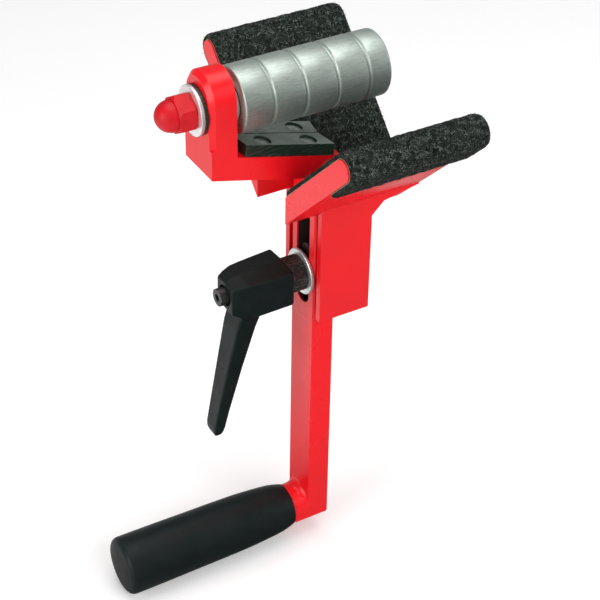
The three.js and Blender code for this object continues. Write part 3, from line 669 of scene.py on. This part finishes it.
def turned_mesh(name, profile, axis_z=0.0, closed=False):
    """Sweeps (x, radius) points round the line y=0, z=axis_z. A point on the axis is one vertex."""
    vertices, rings = [], []
    for x, radius in profile:
        if radius < ON_AXIS:
            rings.append([len(vertices)])
            vertices.append((x, 0, axis_z))
            continue
        rings.append(range(len(vertices), len(vertices) + TURNED_STEPS))
        for step in range(TURNED_STEPS):
            angle = 2 * math.pi * step / TURNED_STEPS
            vertices.append((x, radius * math.cos(angle), axis_z + radius * math.sin(angle)))
    faces = []
    pairs = list(zip(rings, rings[1:]))
    if closed:
        pairs.append((rings[-1], rings[0]))
    for first, second in pairs:
        for step in range(TURNED_STEPS):
            after = (step + 1) % TURNED_STEPS
            if len(first) == 1:
                faces.append((first[0], second[step], second[after]))
            elif len(second) == 1:
                faces.append((first[step], second[0], first[after]))
            else:
                faces.append((first[step], second[step], second[after], first[after]))
    return face_outward(new_mesh(name, vertices, faces))


def corner(x, radius, size, start, end, steps=5):
    """Points of a rounded corner about (x, radius), from one angle to another in degrees."""
    angles = [math.radians(start + (end - start) * step / steps) for step in range(steps + 1)]
    return [(x + size * math.cos(angle), radius + size * math.sin(angle)) for angle in angles]


print("surfaces are turned in", TURNED_STEPS, "steps")

# %% [markdown]
# ## Roller
#
# The roller is the most visible turned piece. The CAD solid gives its ends and its radius; here the
# rim is a true round and each groove is a soft channel, one full wave of the cosine, so that light
# rolls into it instead of breaking at a facet. The hollow core and the bush seats stay in the
# profile, because the right end is open to view from the other side.

# %% Roller
ROLLER_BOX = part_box("roller")
ROLLER_RIM = mm(1.3)
GROOVE_PLACES = [mm(place) for place in (20.3, 39.4, 58.5, 77.6)]
GROOVE_WIDTH = mm(3.3)
GROOVE_DEPTH = mm(1.1)
GROOVE_STEPS = 12
BORE_RADIUS = mm(10.05)
SEAT_RADIUS = mm(11.9)
CORE_RADIUS = mm(14.5)
SEAT_DEPTH = mm(1.9)
END_RECESS = mm(7.9)
WEB = mm(12)
roller_left, roller_right = ROLLER_BOX[0][0], ROLLER_BOX[1][0]
roller_radius = ROLLER_BOX[1][2]


def groove(place):
    """One soft channel across the roller."""
    points = []
    for step in range(GROOVE_STEPS + 1):
        share = step / GROOVE_STEPS * 2 - 1
        depth = GROOVE_DEPTH * (0.5 + 0.5 * math.cos(math.pi * share))
        points.append((place + share * GROOVE_WIDTH / 2, roller_radius - depth))
    return points


seat_end, web_end = roller_right - END_RECESS, roller_right - END_RECESS - WEB
profile = [(roller_left, SEAT_RADIUS)]
profile += corner(roller_left + ROLLER_RIM, roller_radius - ROLLER_RIM, ROLLER_RIM, 180, 90)
for place in GROOVE_PLACES:
    profile += groove(place)
profile += corner(roller_right - ROLLER_RIM, roller_radius - ROLLER_RIM, ROLLER_RIM, 90, 0)
profile += [(roller_right, SEAT_RADIUS), (seat_end, SEAT_RADIUS), (seat_end, BORE_RADIUS)]
profile += [(web_end, BORE_RADIUS), (web_end, CORE_RADIUS), (roller_left + WEB, CORE_RADIUS)]
profile += [(roller_left + WEB, BORE_RADIUS), (roller_left + SEAT_DEPTH, BORE_RADIUS)]
profile += [(roller_left + SEAT_DEPTH, SEAT_RADIUS)]
finish_piece("grooved_roller", turned_mesh("grooved_roller", profile, closed=True),
             "aluminium", "roller", ["roller"])
print("roller", round((roller_right - roller_left) * 1000, 1), "mm long")

# %% [markdown]
# ## Grip
#
# The grip swells slowly towards its end. Seven measured radii are joined with a smooth curve that
# passes through every one of them, then the rim is a round and the end a shallow dome.

# %% Grip
GRIP_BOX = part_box("grip")
GRIP_RADII = [mm(radius) for radius in (13.1, 14, 15.3, 16.8, 17.2, 17.6, 18)]
GRIP_SHARES = [0, 0.026, 0.079, 0.247, 0.352, 0.6, 0.88]
GRIP_STEPS = 40
GRIP_RIM = mm(4)
GRIP_RIM_STEPS = 8
GRIP_LENGTH = mm(113.5)
GRIP_DOME = mm(1.2)
DOME_STEPS = 6
SPINDLE_ROOM = mm(5.05)
BORE_LENGTH = mm(95.3)
grip_right = GRIP_BOX[1][0]
grip_left = grip_right - GRIP_LENGTH
grip_z = (GRIP_BOX[0][2] + GRIP_BOX[1][2]) / 2


def through_points(places, values, at):
    """A smooth curve through measured points: each slope is that of the neighbours' chord."""
    index = max(0, min(len(places) - 2, sum(1 for place in places if place <= at) - 1))
    p0, p1 = places[index], places[index + 1]
    before, after = max(index - 1, 0), min(index + 2, len(places) - 1)
    slope0 = (values[index + 1] - values[before]) / (p1 - places[before])
    slope1 = (values[after] - values[index]) / (places[after] - p0)
    share, run = (at - p0) / (p1 - p0), p1 - p0
    start = (2 * share**3 - 3 * share**2 + 1) * values[index]
    end = (3 * share**2 - 2 * share**3) * values[index + 1]
    return (start + (share**3 - 2 * share**2 + share) * run * slope0
            + end + (share**3 - share**2) * run * slope1)


flat_radius = GRIP_RADII[-1] - GRIP_RIM
profile = [(grip_left - GRIP_DOME, 0)]
for step in range(1, DOME_STEPS):
    dome = GRIP_DOME * (1 - (step / DOME_STEPS) ** 2)
    profile.append((grip_left - dome, flat_radius * step / DOME_STEPS))
profile += corner(grip_left + GRIP_RIM, flat_radius, GRIP_RIM, 180, 90, GRIP_RIM_STEPS)
for step in range(GRIP_STEPS + 1):
    share = GRIP_SHARES[-1] * (1 - step / GRIP_STEPS)
    radius = through_points(GRIP_SHARES, GRIP_RADII, share)
    profile.append((grip_right - share * GRIP_LENGTH, radius))
profile += [(grip_right, SPINDLE_ROOM), (grip_right - BORE_LENGTH, SPINDLE_ROOM),
            (grip_right - BORE_LENGTH, 0)]
finish_piece("turned_grip", turned_mesh("turned_grip", profile, grip_z),
             "black_plastic", "grip", ["grip"])
print("grip widens to", round(GRIP_RADII[-1] * 2000, 1), "mm")

# %% [markdown]
# ## Clamping lever
#
# The handle is moulded plastic with flat faces and slightly soft edges. It is built as two lofts of
# straight sided sections, the hub along X and the arm downwards. A voxel remesh joins them into one
# skin and a few smoothing passes soften the edges.

# %% Lever skin
HANDLE_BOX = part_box("lever_handle")
INSERT_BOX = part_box("lever_insert")
LEVER_VOXEL = mm(0.5)
# Reach from the hub's right face, half width, ridge, shoulder and bottom
HUB_SECTIONS = [
    (0, 13.2, 11.5, 10.6, 10.0), (1.0, 14, 12.3, 11.3, 10.8), (21, 12.9, 12.2, 10.6, 12.2),
    (28, 12.1, 11.7, 10.4, 12.2), (33, 10.6, 10.6, 9.4, 10.8), (36.6, 8.9, 9.3, 8.3, 8.8),
    (37, 8.4, 8.8, 7.8, 8.3),
]
# Reach of the arm's middle, drop below the stud, half depth along X and half width
ARM_SECTIONS = [
    (22.5, 6, 7.2, 9), (24.6, 13.7, 6.8, 8.9), (27.6, 22, 6.2, 8.7), (34.6, 50, 5, 7.2),
    (41.4, 79, 3.9, 6), (43.8, 90, 3.5, 5.8), (44.4, 93.5, 3.0, 5.4), (44.6, 96, 2.0, 4.4),
]
SHOULDER_CUT = mm(0.8)
ARM_CORNER = 0.2
SOFTNESS = 0.5
SOFT_PASSES = 3
stud_z = (INSERT_BOX[0][2] + INSERT_BOX[1][2]) / 2
hub_right = HANDLE_BOX[1][0]


def hub_section(width, ridge, shoulder, bottom):
    """A hub section as (y, z): a low roof, upright sides and a flat underside, corners cut."""
    cut = SHOULDER_CUT
    half = [(0, ridge), (width - cut, shoulder), (width, shoulder - cut), (width, cut - bottom),
            (width - cut, -bottom)]
    return half + [(-y, z) for y, z in reversed(half[1:])]


def arm_section(depth, width):
    """An arm section as (x, y): a rectangle with cut corners."""
    cut = ARM_CORNER * depth
    quarter = [(depth, width - cut), (depth - cut, width)]
    half = quarter + [(-x, y) for x, y in reversed(quarter)]
    return half + [(-x, -y) for x, y in half]


def loft_into(work, rings):
    """Skins a row of rings of equal length and caps both ends."""
    rows = [[work.verts.new(point) for point in ring] for ring in rings]
    for first, second in zip(rows, rows[1:]):
        for step in range(len(first)):
            after = (step + 1) % len(first)
            work.faces.new((first[step], first[after], second[after], second[step]))
    work.faces.new(list(reversed(rows[0])))
    work.faces.new(rows[-1])


def with_modifiers(mesh, build):
    """Runs modifiers on a scratch object and returns the resulting mesh."""
    scratch = add_object("scratch", mesh)
    build(scratch)
    graph = bpy.context.evaluated_depsgraph_get()
    result = bpy.data.meshes.new_from_object(scratch.evaluated_get(graph))
    bpy.data.objects.remove(scratch)
    return result


def moulded(scratch):
    """Joins the lofts into one skin and softens where they meet."""
    voxels = scratch.modifiers.new("voxels", "REMESH")
    voxels.mode = "VOXEL"
    voxels.voxel_size = LEVER_VOXEL
    soft = scratch.modifiers.new("soft", "SMOOTH")
    soft.factor = SOFTNESS
    soft.iterations = SOFT_PASSES


hub_rings = []
for reach, *measures in HUB_SECTIONS:
    section = hub_section(*[mm(measure) for measure in measures])
    hub_rings.append([(hub_right - mm(reach), y, stud_z + z) for y, z in section])
arm_rings = []
for reach, drop, depth, width in ARM_SECTIONS:
    section = arm_section(mm(depth), mm(width))
    arm_rings.append([(hub_right - mm(reach) + x, y, stud_z - mm(drop)) for x, y in section])
work = bmesh.new()
loft_into(work, hub_rings)
loft_into(work, arm_rings)
bmesh.ops.recalc_face_normals(work, faces=work.faces)
lever_mesh = bpy.data.meshes.new("lever_skin")
work.to_mesh(lever_mesh)
work.free()
lever_mesh = with_modifiers(lever_mesh, moulded)
print("lever skin", len(lever_mesh.vertices), "vertices")

# %% [markdown]
# ## The lever's bore
#
# The bore for the toothed insert and the seat of the end screw show when the handle is lifted off
# its teeth. Both lie on the stud's axis, so one turned cutter takes them out of the skin.

# %% Lever bore
TOOTH_ROOM = mm(9.55)
TOOTH_DEPTH = mm(3.8)
NECK_ROOM = mm(8.45)
NECK_DEPTH = mm(19)
SCREW_ROOM = mm(3.3)
HEAD_ROOM = mm(6.4)
HEAD_SHOULDER = mm(22)
CUTTER_REACH = mm(50)
OVERRUN = mm(4)
LEVER_SMOOTH_DEGREES = 40
bore_profile = [
    (-OVERRUN, 0), (-OVERRUN, TOOTH_ROOM), (TOOTH_DEPTH, TOOTH_ROOM), (TOOTH_DEPTH, NECK_ROOM),
    (NECK_DEPTH, NECK_ROOM), (NECK_DEPTH, SCREW_ROOM), (HEAD_SHOULDER, SCREW_ROOM),
    (HEAD_SHOULDER, HEAD_ROOM), (CUTTER_REACH, HEAD_ROOM), (CUTTER_REACH, 0),
]
cutter = add_object("cutter", turned_mesh(
    "lever_bore", [(hub_right - depth, radius) for depth, radius in bore_profile], stud_z))


def bored(scratch):
    """Cuts the bore out of the skin."""
    cut = scratch.modifiers.new("bore", "BOOLEAN")
    cut.operation = "DIFFERENCE"
    cut.solver = "EXACT"
    cut.object = cutter


lever_mesh = with_modifiers(lever_mesh, bored)
bpy.data.objects.remove(cutter)
finish_piece("moulded_lever", lever_mesh, "black_plastic", "lever", ["lever_handle"],
             LEVER_SMOOTH_DEGREES)
print("lever", len(lever_mesh.vertices), "vertices")

# %% [markdown]
# ## Eased edges
#
# No painted or machined edge is perfectly sharp, and it is the thin highlight along an edge that
# makes a solid look real. The CAD meshes are triangles, so flat faces are first joined again, then
# sharp edges get a narrow round. Weighted normals keep the large faces flat in shading while the
# rounds stay smooth. Five of these pieces then get a finish of their own: red paint with a painted
# shade in the bar's slot and on the saddle's web, the blades' steel with its painted top highlight,
# and the red cap.

# %% Eased copies
EASE_STEPS = 3
EASE_DEGREES = 38
FLAT_DEGREES = 0.5
MERGE_WITHIN = mm(0.004)
NORMAL_WEIGHT = 80
# CAD node: name of the eased piece and width of its rounds in millimetres
EASED = {
    "crank_bar": ("painted_bar", 1.3), "head_block": ("painted_head", 0.5),
    "saddle": ("painted_saddle", 0.4), "front_blade": ("ground_front_blade", 0.25),
    "rear_blade": ("ground_rear_blade", 0.25), "axle_cap_nut": ("capped_nut", 0.5),
    "lever_screw": ("blackened_end_screw", 0.35),
}
SPECIAL = {
    # The slot and web zones lay a painted shade over the red, where little light reaches.
    "crank_bar": make_red_paint("red paint, painted shade in slot", Left=mm(50), Right=mm(62),
                                Half_Width=mm(7.3), Low=mm(-145), High=mm(-77)),
    "saddle": make_red_paint("red paint, painted shade on web", Left=mm(49), Right=mm(69.5),
                             Half_Width=mm(15.2), Low=mm(-148), High=mm(-92)),
    "front_blade": blade_steel, "rear_blade": blade_steel, "axle_cap_nut": red_cap,
}


def joined_faces(node):
    """A copy of a CAD node's mesh with the triangles of each flat face joined."""
    mesh = frame["nodes"][node].data.copy()
    work = bmesh.new()
    work.from_mesh(mesh)
    bmesh.ops.remove_doubles(work, verts=work.verts, dist=MERGE_WITHIN)
    bmesh.ops.dissolve_limit(work, angle_limit=math.radians(FLAT_DEGREES), verts=work.verts,
                             edges=work.edges)
    work.to_mesh(mesh)
    work.free()
    return mesh


def ease(node, name, width):
    """Stands an edge-rounded copy in for a CAD node."""

    def rounded_edges(scratch):
        """A narrow round on every sharp edge, with flat faces kept flat in shading."""
        edge = scratch.modifiers.new("eased", "BEVEL")
        edge.width = width
        edge.segments = EASE_STEPS
        edge.limit_method = "ANGLE"
        edge.angle_limit = math.radians(EASE_DEGREES)
        weights = scratch.modifiers.new("weights", "WEIGHTED_NORMAL")
        weights.weight = NORMAL_WEIGHT

    mesh = joined_faces(node)
    mesh.polygons.foreach_set("use_smooth", [True] * len(mesh.polygons))
    eased = with_modifiers(mesh, rounded_edges)
    return finish_piece(name, eased, SLOT_OF[node], BODY_OF[node], [node], None)


for node, (name, width) in EASED.items():
    piece = ease(node, name, mm(width))
    if node in SPECIAL:
        piece.data.materials[0] = SPECIAL[node]
    print(name, len(piece.data.polygons), "faces")

# %% [markdown]
# ## Washer and black ring on the axle
#
# The bright washer hides most of the black ring behind it, so the ring is turned a little smaller
# and only its upper edge shows. Both are plain turned pieces with rounded rims.

# %% Washer and ring
RIM_ROUND = mm(0.45)
RING_BORE = mm(6.2)
# CAD node: name of the turned piece and how much smaller than the node it is
RINGS = {"axle_washer": ("turned_axle_washer", 0), "axle_ring": ("rubber_axle_ring", mm(1.1))}
for node, (name, inset) in RINGS.items():
    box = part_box(node)
    left, right, radius = box[0][0], box[1][0], box[1][2] - inset
    outline = [(left, RING_BORE)]
    outline += corner(left + RIM_ROUND, radius - RIM_ROUND, RIM_ROUND, 180, 90)
    outline += corner(right - RIM_ROUND, radius - RIM_ROUND, RIM_ROUND, 90, 0)
    outline.append((right, RING_BORE))
    finish_piece(name, turned_mesh(name, outline, closed=True), SLOT_OF[node], BODY_OF[node],
                 [node])
print(len(RINGS), "rings turned")

# %% [markdown]
# ## The course of the felt
#
# Each pad is a thick strip of felt that lies on its arm, goes round the tip and ends underneath. It
# is glued flat, so nothing hangs or folds and no cloth simulation is needed: the pad can be built
# along its path. The path is a row of pairs, one point on the glued side and one on the outside,
# measured in the arm's own directions. Next to the root it starts in the middle of the V.

# %% Felt path
ARM_SLOPE = math.radians(45)
ARM_LENGTH = mm(113)
ARM_THICKNESS = mm(12.3)
ARM_UNDERSIDE_Z = mm(-91.4)
TIP_RADIUS = ARM_THICKNESS / 2
NOTCH_HALF = mm(15.5)
FELT_GAP = mm(0.15)
FELT_THICKNESS = mm(3.2)
FELT_TAIL = mm(21)
VALLEY_ROWS = 14
TOP_ROWS = 52
TIP_ROWS = 18
TAIL_ROWS = 13


def arm_point(side, along, out):
    """A point of the arm's section: along the arm and out from its underside."""
    y = along * math.cos(ARM_SLOPE) - out * math.sin(ARM_SLOPE)
    z = ARM_UNDERSIDE_Z + along * math.sin(ARM_SLOPE) + out * math.cos(ARM_SLOPE)
    return side * y, z


def along_at(y, out):
    """Where a line at a height above the arm's underside reaches a distance from the middle."""
    return (y + out * math.sin(ARM_SLOPE)) / math.cos(ARM_SLOPE)


def felt_path():
    """The pad's course as pairs of inner and outer points, from the root to the tail."""
    low, high = ARM_THICKNESS + FELT_GAP, ARM_THICKNESS + FELT_GAP + FELT_THICKNESS
    tip = ARM_LENGTH - TIP_RADIUS
    rows = []
    for step in range(VALLEY_ROWS):
        y = FELT_GAP + (NOTCH_HALF - FELT_GAP) * step / VALLEY_ROWS
        rows.append(((along_at(y, low), low), (along_at(y, high), high)))
    for step in range(TOP_ROWS + 1):
        share = step / TOP_ROWS
        inner, outer = (along_at(NOTCH_HALF, out) * (1 - share) + tip * share
                        for out in (low, high))
        rows.append(((inner, low), (outer, high)))
    reach = TIP_RADIUS + FELT_GAP
    for step in range(1, TIP_ROWS + 1):
        turn = math.radians(90 - 180 / TIP_ROWS * step)
        rows.append(tuple((tip + far * math.cos(turn), TIP_RADIUS + far * math.sin(turn))
                          for far in (reach, reach + FELT_THICKNESS)))
    for step in range(1, TAIL_ROWS + 1):
        along = tip - FELT_TAIL * step / TAIL_ROWS
        rows.append(((along, -FELT_GAP), (along, -FELT_GAP - FELT_THICKNESS)))
    return rows


print("felt path", len(felt_path()), "rows")

# %% [markdown]
# ## Felt pads
#
# The path is carried across the arm's width as a grid, on the glued side and on the outside, and
# the two are closed along every border. Cells where the bar passes are left out, which gives the
# notch. Felt is never quite even, so noise moves the outside a little, and its borders are thinner.
# Each point also stores how near it is to the glued side, for the cream line of the finish.

# %% Felt pads
NOTCH_END = mm(67.05)
FELT_STEP = mm(1.6)
FELT_UNEVEN = mm(0.5)
# Share of the full thickness on a border, one cell inside it, and further in
FELT_EDGE = (0.7, 0.93, 1)
FELT_NOISE_SCALE = 260
FELT_NOISE = (0.7, 2.0, 3)
FELT_SMOOTH_DEGREES = 60


def even_steps(start, end):
    """Places from start to end about one felt step apart."""
    count = round((end - start) / FELT_STEP)
    return [start + (end - start) * step / count for step in range(count + 1)]


def felt_pad(name, side, node):
    """One closed pad, and the numbers of the faces on its outside and its cut edges."""
    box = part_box(node)
    left_part = even_steps(box[0][0], NOTCH_END)
    places = left_part + even_steps(NOTCH_END, box[1][0])[1:]
    path = felt_path()
    rows, columns = len(path), len(places)
    vertices, faces, outer_faces, index_of, backing = [], [], [], {}, []

    def is_open(row, column):
        """Whether a grid cell lies beyond the pad or in the notch for the bar."""
        beyond = row < 0 or column < 0 or row >= rows - 1 or column >= columns - 1
        return beyond or (row < VALLEY_ROWS and column < len(left_part) - 1)

    def edge_of(row, column):
        """How many cells lie between a grid point and the nearest border, counted up to two."""
        around = [max(abs(r - row + 0.5), abs(c - column + 0.5)) - 0.5
                  for r in range(row - 3, row + 3) for c in range(column - 3, column + 3)
                  if is_open(r, c)]
        return int(min(around, default=2))

    def point(row, column, face):
        """The number of a point on the outer (1) or inner (0) face, added when first asked for."""
        key = (row, column, face)
        if key not in index_of:
            inner, outer = path[row]
            edge = edge_of(row, column)
            share = FELT_EDGE[edge] if face else 0
            if face and edge == 2:
                spot = Vector((places[column], *arm_point(side, *outer)))
                rough = noise.fractal(spot * FELT_NOISE_SCALE, *FELT_NOISE)
                share += rough * FELT_UNEVEN / FELT_THICKNESS
            along, out = (a + (b - a) * share for a, b in zip(inner, outer))
            index_of[key] = len(vertices)
            backing.append(1.0 - face)
            vertices.append((places[column], *arm_point(side, along, out)))
        return index_of[key]

    for row in range(rows - 1):
        for column in range(columns - 1):
            if is_open(row, column):
                continue
            ring = [(row, column), (row, column + 1), (row + 1, column + 1), (row + 1, column)]
            outer_faces.append(len(faces))
            faces.append([point(*at, 1) for at in ring])
            faces.append([point(*at, 0) for at in reversed(ring)])
            beside = [(row - 1, column), (row, column + 1), (row + 1, column), (row, column - 1)]
            for number, cell in enumerate(beside):
                if is_open(*cell):
                    first, second = ring[number], ring[(number + 1) % 4]
                    outer_faces.append(len(faces))
                    faces.append([point(*second, 1), point(*first, 1), point(*first, 0),
                                  point(*second, 0)])
    mesh = new_mesh(name, vertices, faces)
    mesh.attributes.new("backing", "FLOAT", "POINT").data.foreach_set("value", backing)
    pad = finish_piece(name, face_outward(mesh), "felt", "saddle", [node], FELT_SMOOTH_DEGREES)
    return pad, outer_faces


front_pad, front_outer = felt_pad("front_felt_pad", -1, "front_felt")
rear_pad, rear_outer = felt_pad("rear_felt_pad", 1, "rear_felt")
print("pads", len(front_pad.data.vertices), "vertices each")

# %% [markdown]
# ## Fibres
#
# What makes it felt is the fuzz: thousands of short curly fibres that start just under the surface,
# run mostly along it and lift off a little. Each fibre is a thin ribbon, bent by a random walk and
# narrowing to its end, and many are paler than the pad, as in the photograph. Every pad has its own
# seed, so the fuzz is the same each time.

# %% Fibres
FIBRES = 15000
FIBRE_POINTS = 7
FIBRE_LENGTH = (mm(1.0), mm(3.6))
FIBRE_WIDTH = mm(0.1)
FIBRE_TAPER = 0.6
FIBRE_ROOT = mm(0.1)
FIBRE_BEND = 0.75
FIBRE_WANDER = 0.5
FIBRE_LIFT = 0.22
FIBRE_DROOP = 1.7
FIBRE_DARK = (0.004, 0.006, 0.005, 1)
FIBRE_PALE = (0.21, 0.25, 0.21, 1)
fibre_finish, tree, shader = start_material("felt fibres")
tint = effect(tree, mottle, Scale=300)
fill(tree, shader, Base_Color=mix_colours(tree, tint, FIBRE_DARK, FIBRE_PALE), Roughness=0.7,
     Specular_IOR_Level=0.3)


def fibre(chance, start, normal, vertices, faces):
    """One curly ribbon that starts on the surface and wanders along it."""
    heading = normal.orthogonal().normalized()
    heading.rotate(Matrix.Rotation(chance.uniform(0, 2 * math.pi), 3, normal))
    step = chance.uniform(*FIBRE_LENGTH) / (FIBRE_POINTS - 1)
    place = start - normal * FIBRE_ROOT
    bend = chance.uniform(-FIBRE_BEND, FIBRE_BEND)
    lift = chance.uniform(0.0, FIBRE_LIFT)
    first = len(vertices)
    for number in range(FIBRE_POINTS):
        width = FIBRE_WIDTH * (1 - FIBRE_TAPER * number / (FIBRE_POINTS - 1))
        flat = heading.cross(normal).normalized() * width
        vertices.extend((place - flat, place + flat))
        bend += chance.uniform(-FIBRE_WANDER, FIBRE_WANDER)
        heading.rotate(Matrix.Rotation(bend, 3, normal))
        rise = lift * (1 - FIBRE_DROOP * number / FIBRE_POINTS)
        place = place + (heading + normal * rise).normalized() * step
    for number in range(FIBRE_POINTS - 1):
        a = first + 2 * number
        faces.append((a, a + 1, a + 3, a + 2))


def grow_fibres(name, pad, outer_faces, seed):
    """Scatters fibres over the outer side of a pad, evenly by area."""
    chance = random.Random(seed)
    mesh = pad.data
    outer = [mesh.polygons[number] for number in outer_faces]
    picks = chance.choices(outer, weights=[polygon.area for polygon in outer], k=FIBRES)
    vertices, faces = [], []
    for polygon in picks:
        corners = [mesh.vertices[index].co for index in polygon.vertices]
        a, b = chance.random(), chance.random()
        near = corners[0] * (1 - a) + corners[1] * a
        far = corners[3] * (1 - a) + corners[2] * a
        fibre(chance, near * (1 - b) + far * b, polygon.normal, vertices, faces)
    fuzz = add_object(name, new_mesh(name, vertices, faces))
    fuzz.data.materials.append(fibre_finish)
    fuzz.parent = pad
    fuzz.matrix_parent_inverse = Matrix.Identity(4)


grow_fibres("front_felt_fibres", front_pad, front_outer, 11)
grow_fibres("rear_felt_fibres", rear_pad, rear_outer, 12)
print(FIBRES, "fibres on each pad")

# %% [markdown]
# ## Finish
#
# The last cell only imports json.

# %% Finish
import json
